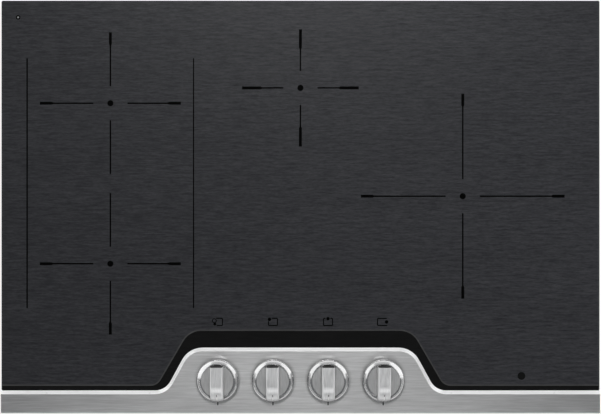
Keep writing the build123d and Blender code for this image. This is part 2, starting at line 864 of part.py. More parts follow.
# Ferrite bars in a star under each former
with BuildPart() as ferrite_bars:
    with BuildSketch(Plane.XY.offset(former_under - ferrite_height)):
        for zone, place in zones.items():
            inner = winding_inner + ferrite_start
            outer = winding_outer(zone)
            with Locations(place):
                with PolarLocations((inner + outer) / 2, zone_bars[zone]):
                    Rectangle(outer - inner, ferrite_width)
    extrude(amount=ferrite_height)
ferrite_bars.part.label = "ferrite_bars"
export_step(ferrite_bars.part, "parts/ferrite_bars.step")

# Temperature sensors in the middle of each former
with BuildPart() as coil_sensors:
    with BuildSketch(Plane.XY.offset(former_under - sensor_foot_height)):
        with Locations(*zones.values()):
            Circle(sensor_foot)
    extrude(amount=sensor_foot_height)
    with BuildSketch(Plane.XY.offset(former_under)):
        with Locations(*zones.values()):
            Circle(sensor_radius)
    extrude(amount=below_glass - former_under)
coil_sensors.part.label = "coil_sensors"
export_step(coil_sensors.part, "parts/coil_sensors.step")

# Leaf springs that press each coil up, spread around each zone midway between ferrite bars
leaf_rise = former_under - tray_top - running_play
leaf_foot = leaf_chord / 2
leaf_heel = leaf_foot - leaf_thickness
with BuildPart() as coil_springs:
    for zone in zones:
        for leaf in range(leaf_count):
            angle = 180 / zone_bars[zone] + 360 / leaf_count * leaf
            place = around(zone, angle, winding_outer(zone) - leaf_inset)
            outward = (cos(radians(angle)), sin(radians(angle)), 0)
            along = (-outward[1], outward[0], 0)
            with BuildSketch(Plane(origin=(*place, tray_top), x_dir=along, z_dir=outward)):
                with BuildLine():
                    ThreePointArc((-leaf_foot, 0), (0, leaf_rise), (leaf_foot, 0))
                    Line((leaf_foot, 0), (leaf_heel, 0))
                    ThreePointArc((leaf_heel, 0), (0, leaf_rise - leaf_thickness), (-leaf_heel, 0))
                    Line((-leaf_heel, 0), (-leaf_foot, 0))
                make_face()
            extrude(amount=leaf_width / 2, both=True)
coil_springs.part.label = "coil_springs"
export_step(coil_springs.part, "parts/coil_springs.step")

# Coil trays: a plate on four bent legs with feet on the box's pads
tray_holes = {"left": ("left_rear", "left_front"), "right": ("right",)}
for name, (left, right, front, rear) in trays.items():
    with BuildPart() as coil_tray:
        with BuildSketch(Plane.XY.offset(tray_level)):
            with Locations(((left + right) / 2, (front + rear) / 2)):
                Rectangle(right - left, rear - front)
            with Locations(*[lead_places[zone] for zone in tray_holes[name]]):
                Circle(lead_hole, mode=Mode.SUBTRACT)
            if name == "right":
                with Locations(bent_lead_place):
                    Circle(lead_hole, mode=Mode.SUBTRACT)
        extrude(amount=tray_sheet)
        with BuildSketch(Plane.XY.offset(pad_height)):
            for y in (front + tray_leg / 2, rear - tray_leg / 2):
                with Locations((left + tray_sheet / 2, y), (right - tray_sheet / 2, y)):
                    Rectangle(tray_sheet, tray_leg)
        extrude(amount=tray_level - pad_height)
        with BuildSketch(Plane.XY.offset(pad_height)):
            for y in (front + tray_leg / 2, rear - tray_leg / 2):
                with Locations((left + tray_foot / 2, y), (right - tray_foot / 2, y)):
                    Rectangle(tray_foot, tray_leg)
            with Locations(*tray_feet(name)):
                Circle(screw_hole, mode=Mode.SUBTRACT)
        extrude(amount=tray_sheet)
    coil_tray.part.label = f"coil_tray_{name}"
    export_step(coil_tray.part, f"parts/coil_tray_{name}.step")

# Coil leads, a pair to each coil, down through the tray to a generator board
with BuildPart() as coil_leads:
    with BuildSketch(Plane.XY.offset(board_top)):
        for x, y in lead_places.values():
            with Locations((x - lead_spread, y), (x + lead_spread, y)):
                Circle(lead_radius)
    extrude(amount=former_under - board_top)
    x, y = bent_lead_place
    for side in (-1, 1):
        # the pair lies one above the other, so the outer bend and the inner bend stay apart
        level = bent_lead_level + side * lead_spread
        with BuildLine() as route:
            FilletPolyline(
                (x + side * lead_spread, y, former_under),
                (x + side * lead_spread, y, level),
                (bent_lead_end + side * lead_spread, y, level),
                (bent_lead_end + side * lead_spread, y, board_top),
                radius=lead_bend,
            )
        with BuildSketch(Plane(origin=(x + side * lead_spread, y, former_under), z_dir=(0, 0, -1))):
            Circle(lead_radius)
        sweep(path=route.line)
coil_leads.part.label = "coil_leads"
export_step(coil_leads.part, "parts/coil_leads.step")

# Generator boards and heatsinks
for name, place in board_places.items():
    with BuildPart() as generator_board:
        with BuildSketch(Plane.XY.offset(pad_height)):
            with Locations(place):
                Rectangle(*board_size)
            with Locations(*board_screws(place, board_size)):
                Circle(screw_hole, mode=Mode.SUBTRACT)
        extrude(amount=board_thickness)
    generator_board.part.label = f"generator_board_{name}"
    export_step(generator_board.part, f"parts/generator_board_{name}.step")
    with BuildPart() as heatsink:
        sink_place = (place[0] + heatsink_offset, place[1])
        with BuildSketch(Plane.XY.offset(board_top + transistor_size[2])):
            with Locations(sink_place):
                Rectangle(*heatsink_size)
        extrude(amount=heatsink_base)
        with BuildSketch(Plane.XY.offset(board_top + transistor_size[2] + heatsink_base)):
            with Locations(sink_place):
                with GridLocations((heatsink_size[0] - fin_thickness) / (fin_count - 1), 1, fin_count, 1):
                    Rectangle(fin_thickness, heatsink_size[1])
        extrude(amount=heatsink_rise - heatsink_base)
    heatsink.part.label = f"heatsink_{name}"
    export_step(heatsink.part, f"parts/heatsink_{name}.step")

# Power transistors between each board and its heatsink
with BuildPart() as power_transistors:
    with BuildSketch(Plane.XY.offset(board_top)):
        for x, y in board_places.values():
            with Locations((x + heatsink_offset, y)):
                with GridLocations(1, transistor_pitch, 1, transistor_count):
                    Rectangle(*transistor_size[:2])
    extrude(amount=transistor_size[2])
power_transistors.part.label = "power_transistors"
export_step(power_transistors.part, "parts/power_transistors.step")

# Film capacitors and one can on each generator board, one film capacitor on the filter board
film_places = [(x + a, y + b) for x, y in board_places.values() for a, b in film_offsets]
film_places += [(filter_place[0] + filter_film[0], filter_place[1] + filter_film[1])]
with BuildPart() as capacitors:
    with BuildSketch(Plane.XY.offset(board_top)):
        with Locations(*film_places):
            RectangleRounded(*film_size[:2], film_corner)
    extrude(amount=film_size[2])
    with BuildSketch(Plane.XY.offset(board_top)):
        with Locations(*[(x + can_offset[0], y + can_offset[1]) for x, y in board_places.values()]):
            Circle(can_radius)
    extrude(amount=can_height)
capacitors.part.label = "capacitors"
export_step(capacitors.part, "parts/capacitors.step")

# Ring chokes lying on the boards
choke_places = [(x + choke_offset[0], y + choke_offset[1]) for x, y in board_places.values()]
choke_places += [(filter_place[0] + a, filter_place[1] + b) for a, b in filter_chokes]
with BuildPart() as chokes:
    with BuildSketch(Plane.XY.offset(board_top)):
        with Locations(*choke_places):
            Circle(choke_radius + choke_wire)
            Circle(choke_radius - choke_wire, mode=Mode.SUBTRACT)
    extrude(amount=2 * choke_wire)
    fillet(chokes.edges().filter_by(GeomType.CIRCLE), choke_round)
chokes.part.label = "chokes"
export_step(chokes.part, "parts/chokes.step")

# Mains filter board
with BuildPart() as filter_board:
    with BuildSketch(Plane.XY.offset(pad_height)):
        with Locations(filter_place):
            Rectangle(*filter_size)
        with Locations(*board_screws(filter_place, filter_size)):
            Circle(screw_hole, mode=Mode.SUBTRACT)
    extrude(amount=board_thickness)
filter_board.part.label = "filter_board"
export_step(filter_board.part, "parts/filter_board.step")

# Cooling fans: a square frame with struts and an axle, and a rotor that turns on the axle
fan_top = pad_height + fan_height
motor_under = fan_top - motor_plate
rotor_top = motor_under - rotor_end_play
rotor_low = pad_height + rotor_gap
blade_start = rotor_hub - blade_root
strut_length = 2 * (fan_bore + strut_root)
for name, place in fan_places.items():
    with BuildPart() as fan_frame:
        with BuildSketch(Plane.XY.offset(pad_height)):
            with Locations(place):
                RectangleRounded(fan_size, fan_size, fan_corner)
                Circle(fan_bore, mode=Mode.SUBTRACT)
            with Locations(*fan_screws[name]):
                Circle(screw_hole, mode=Mode.SUBTRACT)
        extrude(amount=fan_height)
        with BuildSketch(Plane.XY.offset(pad_height + fan_lug)):
            with Locations(*fan_screws[name]):
                Circle(screw_head + seal_play)
        extrude(amount=fan_height, mode=Mode.SUBTRACT)
        with BuildSketch(Plane.XY.offset(fan_top - strut_depth)):
            with Locations(place):
                Rectangle(strut_length, strut_width)
                Rectangle(strut_width, strut_length)
        extrude(amount=strut_depth)
        with BuildSketch(Plane.XY.offset(motor_under)):
            with Locations(place):
                Circle(motor_radius)
        extrude(amount=motor_plate)
        with BuildSketch(Plane.XY.offset(motor_under - axle_length)):
            with Locations(place):
                Circle(axle_radius)
        extrude(amount=axle_length)
    fan_frame.part.label = f"fan_frame_{name}"
    export_step(fan_frame.part, f"parts/fan_frame_{name}.step")
    with BuildPart() as fan_rotor:
        with BuildSketch(Plane.XY.offset(rotor_low)):
            with Locations(place):
                Circle(rotor_hub)
        extrude(amount=rotor_top - rotor_low)
        blade_planes = []
        for blade in range(blade_count):
            turn = radians(360 / blade_count * blade)
            lean = radians(blade_pitch_angle)
            out = (cos(turn), sin(turn), 0)
            chord = (-sin(turn) * cos(lean), cos(turn) * cos(lean), sin(lean))
            root = (place[0] + blade_start * out[0], place[1] + blade_start * out[1])
            blade_planes.append(Plane(origin=(*root, (rotor_low + rotor_top) / 2), x_dir=chord, z_dir=out))
        with BuildSketch(*blade_planes):
            Rectangle(blade_chord, blade_thickness)
        extrude(amount=fan_bore - rotor_tip_gap - blade_start)
        with BuildSketch(Plane.XY.offset(motor_under - axle_length - axle_end_gap)):
            with Locations(place):
                Circle(axle_radius + running_play)
        extrude(amount=axle_length + axle_end_gap, mode=Mode.SUBTRACT)
    fan_rotor.part.label = f"fan_rotor_{name}"
    export_step(fan_rotor.part, f"parts/fan_rotor_{name}.step")

# Terminal block on the floor by the conduit hole, with open wire bays
with BuildPart() as terminal_block:
    with BuildSketch(Plane.XY.offset(sheet)):
        with Locations(terminal_place):
            Rectangle(*terminal_size[:2])
    extrude(amount=terminal_size[2])
    with BuildSketch(Plane.XY.offset(sheet + terminal_size[2] - terminal_slot[2])):
        with Locations(terminal_place):
            with GridLocations(terminal_pitch, 1, wire_count, 1):
                Rectangle(*terminal_slot[:2])
    extrude(amount=terminal_slot[2], mode=Mode.SUBTRACT)
terminal_block.part.label = "terminal_block"
export_step(terminal_block.part, "parts/terminal_block.step")

# Conduit bushing through the rear wall
conduit_length = conduit_flange_thickness + sheet + conduit_depth
with BuildPart() as conduit_bushing:
    with BuildSketch(Plane.XZ.offset(wall_front)):
        with Locations((terminal_place[0], conduit_level)):
            Circle(conduit_flange)
    extrude(amount=-conduit_flange_thickness)
    with BuildSketch(Plane.XZ.offset(wall_front)):
        with Locations((terminal_place[0], conduit_level)):
            Circle(conduit_neck)
    extrude(amount=sheet + conduit_depth)
    with BuildSketch(Plane.XZ.offset(wall_front - conduit_flange_thickness)):
        with Locations((terminal_place[0], conduit_level)):
            Circle(conduit_bore)
    extrude(amount=conduit_length, mode=Mode.SUBTRACT)
conduit_bushing.part.label = "conduit_bushing"
export_step(conduit_bushing.part, "parts/conduit_bushing.step")

# Mains wires from the terminal block to the filter board
with BuildPart() as mains_wires:
    wire_start = terminal_place[0] - terminal_size[0] / 2
    y_end = filter_place[1] + mains_end[1]
    for step in range(wire_count):
        y = terminal_place[1] + (step - (wire_count - 1) / 2) * mains_pitch
        x_end = filter_place[0] + mains_end[0] - step * mains_pitch
        with BuildLine() as route:
            FilletPolyline(
                (wire_start, y, mains_level),
                (x_end, y, mains_level),
                (x_end, y_end, mains_level),
                (x_end, y_end, board_top),
                radius=mains_bend,
            )
        with BuildSketch(Plane(origin=(wire_start, y, mains_level), z_dir=(-1, 0, 0))):
            Circle(mains_radius)
        sweep(path=route.line)
mains_wires.part.label = "mains_wires"
export_step(mains_wires.part, "parts/mains_wires.step")

# Control ribbon from the interface board down to the right generator board
ribbon_top = display_line + ribbon_start
ribbon_foot = board_places["right"][1] - board_size[1] / 2 + ribbon_end
with BuildPart() as control_ribbon:
    with BuildLine() as route:
        FilletPolyline(
            (ribbon_place, ribbon_top, plate_top),
            (ribbon_place, ribbon_top, ribbon_level),
            (ribbon_place, ribbon_foot, ribbon_level),
            (ribbon_place, ribbon_foot, board_top),
            radius=ribbon_bend,
        )
    with BuildSketch(Plane(origin=(ribbon_place, ribbon_top, plate_top), x_dir=(1, 0, 0), z_dir=(0, 0, -1))):
        Rectangle(ribbon_width, ribbon_thickness)
    sweep(path=route.line)
control_ribbon.part.label = "control_ribbon"
export_step(control_ribbon.part, "parts/control_ribbon.step")

# Hold-down brackets on the box's sides
with BuildPart() as hold_down_brackets:
    with BuildSketch(*[Plane.XZ.offset(side * hold_down_line) for side in (-1, 1)]):
        with BuildLine():
            Polyline(
                (wall_side, hold_down_level),
                (wall_side + hold_down_reach, hold_down_level),
                (wall_side + hold_down_reach, hold_down_level + hold_down_sheet),
                (hold_down_face, hold_down_level + hold_down_sheet),
                (hold_down_face, hold_down_level + hold_down_height),
                (wall_side, hold_down_level + hold_down_height),
                close=True,
            )
        make_face()
    extrude(amount=hold_down_width / 2, both=True)
    mirror(about=Plane.YZ)
    with BuildSketch(Plane.XY.offset(hold_down_level)):
        with Locations(*corners((0, 0), 2 * clamp_line, 2 * hold_down_line)):
            Circle(clamp_radius + running_play)
    extrude(amount=hold_down_sheet, mode=Mode.SUBTRACT)
    with BuildSketch(Plane.YZ):
        with Locations(*[(side * hold_down_line, hold_down_level + hold_down_screw) for side in (-1, 1)]):
            Circle(screw_hole)
    extrude(amount=width, both=True, mode=Mode.SUBTRACT)
hold_down_brackets.part.label = "hold_down_brackets"
export_step(hold_down_brackets.part, "parts/hold_down_brackets.step")

# Clamp screws with a hexagon head below and a round pad that meets the counter's underside
with BuildPart() as clamp_screws:
    clamp_places = corners((0, 0), 2 * clamp_line, 2 * hold_down_line)
    with BuildSketch(Plane.XY.offset(clamp_low)):
        with Locations(*clamp_places):
            RegularPolygon(clamp_head, 6)
    extrude(amount=clamp_head_height)
    with BuildSketch(Plane.XY.offset(clamp_low + clamp_head_height)):
        with Locations(*clamp_places):
            Circle(clamp_radius)
    extrude(amount=clamp_length)
    with BuildSketch(Plane.XY.offset(clamp_low + clamp_head_height + clamp_length)):
        with Locations(*clamp_places):
            Circle(clamp_pad)
    extrude(amount=clamp_pad_height)
clamp_screws.part.label = "clamp_screws"
export_step(clamp_screws.part, "parts/clamp_screws.step")


# Case screws: head on the seat at the origin, shank downwards
def case_screw(length):
    with BuildPart() as screw:
        Cylinder(screw_head, screw_head_height, align=upright)
        with Locations((0, 0, -length)):
            Cylinder(screw_radius, length, align=upright)
    return screw.part


with BuildPart() as stud_nut:
    with BuildSketch():
        RegularPolygon(nut_radius, 6)
        Circle(stud_radius + running_play, mode=Mode.SUBTRACT)
    extrude(amount=nut_height)

with BuildPart() as case_screws:
    with Locations(*[(x, y, pad_height + tray_sheet) for x, y in feet_screws]):
        add(case_screw(screw_length))
    with Locations(*[(x, y, board_top) for x, y in board_points]):
        add(case_screw(screw_length))
    with Locations(*[(x, y, pad_height + fan_lug) for x, y in fan_points]):
        add(case_screw(screw_length + fan_lug - tray_sheet))
    with Locations(*[Location((x, wall_front, z), (90, 0, 0)) for x, z in bracket_screws]):
        add(case_screw(screw_length))
    for side in (-1, 1):
        level = hold_down_level + hold_down_screw
        seats = [(side * hold_down_face, y, level) for y in (-hold_down_line, hold_down_line)]
        with Locations(*[Location(seat, (0, side * 90, 0)) for seat in seats]):
            add(case_screw(screw_length))
    with Locations(*[Location((x, y, plate_under), (180, 0, 0)) for x, y in boss_places]):
        add(case_screw(bracket_sheet + boss_screw_depth - shaft_end_play))
    with Locations(*[(x, y, glass_under - sheet - nut_height) for x, y in stud_places]):
        add(stud_nut.part)
case_screws.part.label = "case_screws"
export_step(case_screws.part, "parts/case_screws.step")
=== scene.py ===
import math

import bmesh
import bpy
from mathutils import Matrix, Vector


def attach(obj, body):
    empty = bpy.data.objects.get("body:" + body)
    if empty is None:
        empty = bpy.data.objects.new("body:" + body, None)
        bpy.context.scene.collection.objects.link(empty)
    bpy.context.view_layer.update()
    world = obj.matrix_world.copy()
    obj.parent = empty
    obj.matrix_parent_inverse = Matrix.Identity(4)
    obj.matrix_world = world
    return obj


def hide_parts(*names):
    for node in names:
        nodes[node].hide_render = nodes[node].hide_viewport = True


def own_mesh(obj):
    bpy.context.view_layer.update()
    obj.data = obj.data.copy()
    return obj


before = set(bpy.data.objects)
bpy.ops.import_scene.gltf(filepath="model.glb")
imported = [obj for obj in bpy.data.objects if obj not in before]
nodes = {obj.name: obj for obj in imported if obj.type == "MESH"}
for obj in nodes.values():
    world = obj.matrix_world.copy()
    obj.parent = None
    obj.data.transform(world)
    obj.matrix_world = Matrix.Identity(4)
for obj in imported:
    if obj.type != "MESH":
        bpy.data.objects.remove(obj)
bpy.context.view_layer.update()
mm = 0.001
print("frame loaded:", len(nodes), "nodes")

# lines of the top, in millimetres, as the solids have them
top = {
    "glassFace": 98.0,
    "trimFace": 102.5,
    "halfWidth": 390.5,
    "wingLine": -239.6,
    "humpLine": -183.7,
    "humpFoot": 176.5,
    "humpHead": 146.0,
    "footRadius": 22.5,
    "headRadius": 31.0,
    "knobLine": -225.2,
    "knobX": (-107.55, -35.85, 35.85, 107.55),
}


# shader helpers
def startFinish(name):
    mat = bpy.data.materials.new(name)
    mat.use_nodes = True
    tree = mat.node_tree
    return mat, tree, tree.nodes["Principled BSDF"]


def grey(value, warm=0.0):
    return (value * (1 + warm), value, value * (1 - warm))


def stretched(tree, stretch):  # object space in metres, stretched along each axis
    coord = tree.nodes.new("ShaderNodeTexCoord")
    mapping = tree.nodes.new("ShaderNodeMapping")
    mapping.inputs["Scale"].default_value = stretch
    tree.links.new(coord.outputs["Object"], mapping.inputs["Vector"])
    return mapping.outputs["Vector"]


def split(tree, vector):  # the X, Y and Z of a vector
    node = tree.nodes.new("ShaderNodeSeparateXYZ")
    tree.links.new(vector, node.inputs["Vector"])
    return node.outputs


def grain(tree, stretch, detail=4.0, rough=0.55):
    noise = tree.nodes.new("ShaderNodeTexNoise")
    noise.inputs["Scale"].default_value = 1.0
    noise.inputs["Detail"].default_value = detail
    noise.inputs["Roughness"].default_value = rough
    tree.links.new(stretched(tree, stretch), noise.inputs["Vector"])
    return noise.outputs["Fac"]


def cells(tree, stretch, feature="F1"):
    cell = tree.nodes.new("ShaderNodeTexVoronoi")
    cell.feature = feature
    cell.inputs["Scale"].default_value = 1.0
    tree.links.new(stretched(tree, stretch), cell.inputs["Vector"])
    return cell.outputs


def ranged(tree, value, low, high, start=0.3, end=0.7):
    node = tree.nodes.new("ShaderNodeMapRange")
    node.inputs["From Min"].default_value = start
    node.inputs["From Max"].default_value = end
    node.inputs["To Min"].default_value = low
    node.inputs["To Max"].default_value = high
    tree.links.new(value, node.inputs["Value"])
    return node.outputs["Result"]


def tinted(tree, value, dark, light, start=0.3, end=0.7):
    ramp = tree.nodes.new("ShaderNodeValToRGB")
    ramp.color_ramp.elements[0].position = start
    ramp.color_ramp.elements[0].color = (*dark, 1)
    ramp.color_ramp.elements[1].position = end
    ramp.color_ramp.elements[1].color = (*light, 1)
    tree.links.new(value, ramp.inputs["Fac"])
    return ramp.outputs["Color"]


def patchy(tree, stretch, dark, detail=3.0):  # soft darker patches to multiply a colour with
    return tinted(tree, grain(tree, stretch, detail), grey(dark), grey(1.0), start=0.35, end=0.65)


def multiplied(tree, a, b, share=1.0):
    node = tree.nodes.new("ShaderNodeMix")
    node.data_type = "RGBA"
    node.blend_type = "MULTIPLY"
    if isinstance(share, float):
        node.inputs[0].default_value = share
    else:
        tree.links.new(share, node.inputs[0])
    tree.links.new(a, node.inputs[6])  # the two colours among the node's sockets
    tree.links.new(b, node.inputs[7])
    return node.outputs[2]


def paint(tree, shader, colour, rough):
    tree.links.new(colour, shader.inputs["Base Color"])
    tree.links.new(rough, shader.inputs["Roughness"])


def bumped(tree, shader, height, strength, distance):
    bump = tree.nodes.new("ShaderNodeBump")
    bump.inputs["Strength"].default_value = strength
    bump.inputs["Distance"].default_value = distance
    tree.links.new(height, bump.inputs["Height"])
    tree.links.new(bump.outputs["Normal"], shader.inputs["Normal"])


def settle(shader, metal=0.0, specular=0.5, aniso=0.0):
    shader.inputs["Metallic"].default_value = metal
    shader.inputs["Specular IOR Level"].default_value = specular
    shader.inputs["Anisotropic"].default_value = aniso


glassLook = {
    "dark": (0.0190, 0.0196, 0.0228),
    "light": (0.0515, 0.0524, 0.0570),
    "streak": (44, 350, 1),
    "streakRamp": (0.28, 0.72),
    "patch": (3.2, 26, 1),
    "patchTone": 0.90,
    "fleck": (170, 620, 1),
    "fleckTone": 0.78,
    "fleckRamp": (0.36, 0.6),
    "gloss": (20, 300, 1),
    "rough": (0.32, 0.42),
    "bump": (0.04, 0.0002),
    "specular": 0.10,
    "ends": (0.90, 1.14),  # painted light: the glass drawn darker at its left end and lighter at its right, as the lamps fall across it
}


def brushedGlass():
    mat, tree, shader = startFinish("brushed_glass_print")
    fine = grain(tree, glassLook["streak"], detail=6.0, rough=0.7)
    streak = tinted(tree, fine, glassLook["dark"], glassLook["light"], *glassLook["streakRamp"])
    broad = patchy(tree, glassLook["patch"], glassLook["patchTone"])
    speck = grain(tree, glassLook["fleck"], detail=3.0)
    fleck = tinted(tree, speck, grey(glassLook["fleckTone"]), grey(1.0), *glassLook["fleckRamp"])
    # painted light: a tone from dark at the left end to light at the right end of the glass, standing in for
    # how the lamps fall across it
    place = split(tree, stretched(tree, (1, 1, 1)))["X"]
    across = ranged(tree, place, 0.0, 1.0, -top["halfWidth"] * mm, top["halfWidth"] * mm)
    left, right = glassLook["ends"]
    paintedSideLight = tinted(tree, across, grey(left), grey(right), 0.0, 1.0)
    colour = multiplied(tree, multiplied(tree, streak, broad), multiplied(tree, fleck, paintedSideLight))
    paint(tree, shader, colour, ranged(tree, grain(tree, glassLook["gloss"]), *glassLook["rough"]))
    bumped(tree, shader, fine, *glassLook["bump"])
    settle(shader, specular=glassLook["specular"])
    return mat


shadeLook = {"samples": 8, "ramp": (0.45, 0.97)}


def nearShade(tree, reach, dark):  # soft shade where another piece stands close by
    near = tree.nodes.new("ShaderNodeAmbientOcclusion")
    near.samples = shadeLook["samples"]
    near.inputs["Distance"].default_value = reach
    return tinted(tree, near.outputs["AO"], grey(dark), grey(1.0), *shadeLook["ramp"])


# brushed steel: what the trim and the knobs' caps share, then each one's own
steelLook = {
    "streakRamp": (0.25, 0.75),
    "patch": (5, 30, 20),
    "patchTone": 0.92,
    "edgeSoft": 0.14,  # how gradually the painted highlight on a bevel sets in
    "raisedSoft": 0.001,
    "flat": (0.93, 0.99),  # only faces that look up take the shade
    "bump": (0.06, 0.0002),
}
trimLook = {
    "streak": (26, 900, 900),
    "dark": grey(0.436),
    "light": grey(0.674),
    "rough": (0.34, 0.43),
    "aniso": 0.60,
    "edge": (0.76, grey(1.80), 1.0),  # slope of the bevels, how much brighter their painted highlight makes them, how metallic
    "shade": (0.0055, 0.45),  # its reach in metres and its tone
    "raised": (0.0, grey(1.0)),
}
faceLook = {
    "streak": (900, 60, 60),
    "dark": grey(0.45),
    "light": grey(0.66),
    "rough": (0.34, 0.46),
    "aniso": 0.3,
    # the grip's chamfers get a slight painted highlight
    "edge": (0.72, grey(1.08), 0.4),
    "shade": (0.003, 0.85),
    "raised": (0.118, grey(1.54)),  # the grip, above the round face, is brighter
}


def brushedSteel(name, look):
    mat, tree, shader = startFinish(name)
    fine = grain(tree, look["streak"], detail=6.0, rough=0.7)
    streak = tinted(tree, fine, look["dark"], look["light"], *steelLook["streakRamp"])
    broad = patchy(tree, steelLook["patch"], steelLook["patchTone"])
    geometry = tree.nodes.new("ShaderNodeNewGeometry")
    upward = split(tree, geometry.outputs["Normal"])["Z"]
    slope, bevelHighlight, edgeMetal = look["edge"]
    slopeEnd = slope + steelLook["edgeSoft"]
    # painted highlight: faces that slope away from the top, the bevels and chamfers, are drawn brighter than
    # the flat
    bevel = tinted(tree, upward, bevelHighlight, grey(1.0), slope, slopeEnd)
    level, lift = look["raised"]
    height = split(tree, stretched(tree, (1, 1, 1)))["Z"]
    raised = tinted(tree, height, grey(1.0), lift, level, level + steelLook["raisedSoft"])
    colour = multiplied(tree, multiplied(tree, streak, broad), multiplied(tree, bevel, raised))
    flat = ranged(tree, upward, 0.0, 1.0, *steelLook["flat"])
    colour = multiplied(tree, colour, nearShade(tree, *look["shade"]), flat)
    paint(tree, shader, colour, ranged(tree, fine, *look["rough"]))
    tangent = tree.nodes.new("ShaderNodeTangent")
    tangent.direction_type = "RADIAL"
    tangent.axis = "X"
    tree.links.new(tangent.outputs["Tangent"], shader.inputs["Tangent"])
    bumped(tree, shader, fine, *steelLook["bump"])
    settle(shader, metal=1.0, aniso=look["aniso"])
    if edgeMetal < 1.0:
        metal = ranged(tree, upward, edgeMetal, 1.0, slope, slopeEnd)
        tree.links.new(metal, shader.inputs["Metallic"])
    return mat


chromeLook = {
    "dark": grey(0.62),
    "light": grey(0.74),
    "haze": (60, 60, 60),
    "scuff": (900, 900, 300),
    "rough": (0.15, 0.21),
    "shade": (0.004, 0.25),
    "bump": (0.02, 0.0001),
}


def polishedChrome():
    mat, tree, shader = startFinish("polished_knob_ring")
    haze = tinted(tree, grain(tree, chromeLook["haze"]), chromeLook["dark"], chromeLook["light"])
    scuff = grain(tree, chromeLook["scuff"], detail=3.0)
    colour = multiplied(tree, haze, nearShade(tree, *chromeLook["shade"]))
    paint(tree, shader, colour, ranged(tree, scuff, *chromeLook["rough"]))
    bumped(tree, shader, scuff, *chromeLook["bump"])
    settle(shader, metal=1.0)
    return mat


# plain finishes: what they share, then each one's own
mouldedLook = {"patch": (14, 14, 14), "patchTone": 0.90, "bumpDepth": 0.0004}
plainLooks = {
    "black_gloss_band": {
        "dark": grey(0.0058), "light": grey(0.0082), "rough": (0.10, 0.16), "specular": 0.14,
        "stretch": (40, 300, 40), "bump": 0.01,
    },
    "band_border": {
        "dark": grey(0.042), "light": grey(0.058), "rough": (0.35, 0.5), "specular": 0.2,
        "stretch": (60, 300, 60), "bump": 0.02,
    },
    "black_print": {
        "dark": grey(0.0006), "light": grey(0.0014), "rough": (0.5, 0.65), "specular": 0.02,
        "stretch": (400, 400, 400), "bump": 0.03,
    },
    "pale_print": {
        "dark": grey(0.17), "light": grey(0.23), "rough": (0.5, 0.65), "specular": 0.1,
        "stretch": (400, 400, 400), "bump": 0.03,
    },
    "black_seal": {
        "dark": grey(0.002), "light": grey(0.004), "rough": (0.45, 0.6), "specular": 0.05,
        "stretch": (300, 300, 300), "bump": 0.1,
    },
    # near black, used only for the painted shade behind each grip
    "shade_black": {
        "dark": grey(0.006), "light": grey(0.012), "rough": (0.5, 0.7), "specular": 0.2,
        "stretch": (900, 900, 900), "bump": 0.15,
    },
    "grey_foam": {
        "dark": grey(0.03), "light": grey(0.06), "rough": (0.85, 0.98), "specular": 0.15,
        "stretch": (700, 700, 700), "bump": 0.5,
    },
    "dark_silicone": {
        "dark": grey(0.02), "light": grey(0.035), "rough": (0.45, 0.6), "specular": 0.35,
        "stretch": (300, 300, 300), "bump": 0.08,
    },
    "cream_former": {
        "dark": (0.46, 0.41, 0.30), "light": (0.58, 0.53, 0.41), "rough": (0.45, 0.6), "specular": 0.4,
        "stretch": (220, 220, 220), "bump": 0.08,
    },
    "dark_ferrite": {
        "dark": grey(0.018), "light": grey(0.045), "rough": (0.55, 0.75), "specular": 0.3,
        "stretch": (600, 600, 600), "bump": 0.25,
    },
    "black_moulding": {
        "dark": grey(0.014), "light": grey(0.026), "rough": (0.38, 0.52), "specular": 0.4,
        "stretch": (800, 800, 800), "bump": 0.12,
    },
    "red_lens": {
        "dark": (0.20, 0.012, 0.010), "light": (0.30, 0.020, 0.015), "rough": (0.12, 0.2), "specular": 0.5,
        "stretch": (200, 200, 200), "bump": 0.02,
    },
    "blue_case": {
        "dark": (0.028, 0.075, 0.21), "light": (0.045, 0.105, 0.27), "rough": (0.3, 0.42), "specular": 0.45,
        "stretch": (260, 260, 260), "bump": 0.05,
    },
    "white_sleeve": {
        "dark": grey(0.55, 0.02), "light": grey(0.70, 0.02), "rough": (0.4, 0.55), "specular": 0.4,
        "stretch": (500, 500, 500), "bump": 0.1,
    },
}


def mouldedFinish(name):
    look = plainLooks[name]
    mat, tree, shader = startFinish(name)
    fine = grain(tree, look["stretch"])
    broad = patchy(tree, mouldedLook["patch"], mouldedLook["patchTone"])
    colour = multiplied(tree, tinted(tree, fine, look["dark"], look["light"]), broad)
    paint(tree, shader, colour, ranged(tree, fine, *look["rough"]))
    bumped(tree, shader, fine, look["bump"], mouldedLook["bumpDepth"])
    settle(shader, specular=look["specular"])
    return mat


zincLook = {
    "dark": (0.40, 0.42, 0.44),
    "light": (0.60, 0.62, 0.64),
    "spangle": (85, 85, 85),
    "feather": (120, 260, 120),
    "featherTone": 0.9,
    "stain": (7, 7, 7),
    "stainTone": (0.80, 0.80, 0.78),
    "stainRamp": (0.3, 0.55),
    "rough": (0.32, 0.50),
    "bump": (0.03, 0.0003),
}


def spangledZinc():  # hot dip sheet with its crystal flakes
    mat, tree, shader = startFinish("spangled_zinc_sheet")
    flake = tree.nodes.new("ShaderNodeSeparateColor")
    tree.links.new(cells(tree, zincLook["spangle"])["Color"], flake.inputs["Color"])
    crystal = flake.outputs["Red"]
    colour = tinted(tree, crystal, zincLook["dark"], zincLook["light"], 0.0, 1.0)
    feather = patchy(tree, zincLook["feather"], zincLook["featherTone"], detail=4.0)
    blotch = grain(tree, zincLook["stain"], detail=5.0)
    stain = tinted(tree, blotch, zincLook["stainTone"], grey(1.0), *zincLook["stainRamp"])
    colour = multiplied(tree, multiplied(tree, colour, feather), stain)
    paint(tree, shader, colour, ranged(tree, crystal, *zincLook["rough"], 0.0, 1.0))
    bumped(tree, shader, crystal, *zincLook["bump"])
    settle(shader, metal=1.0)
    return mat


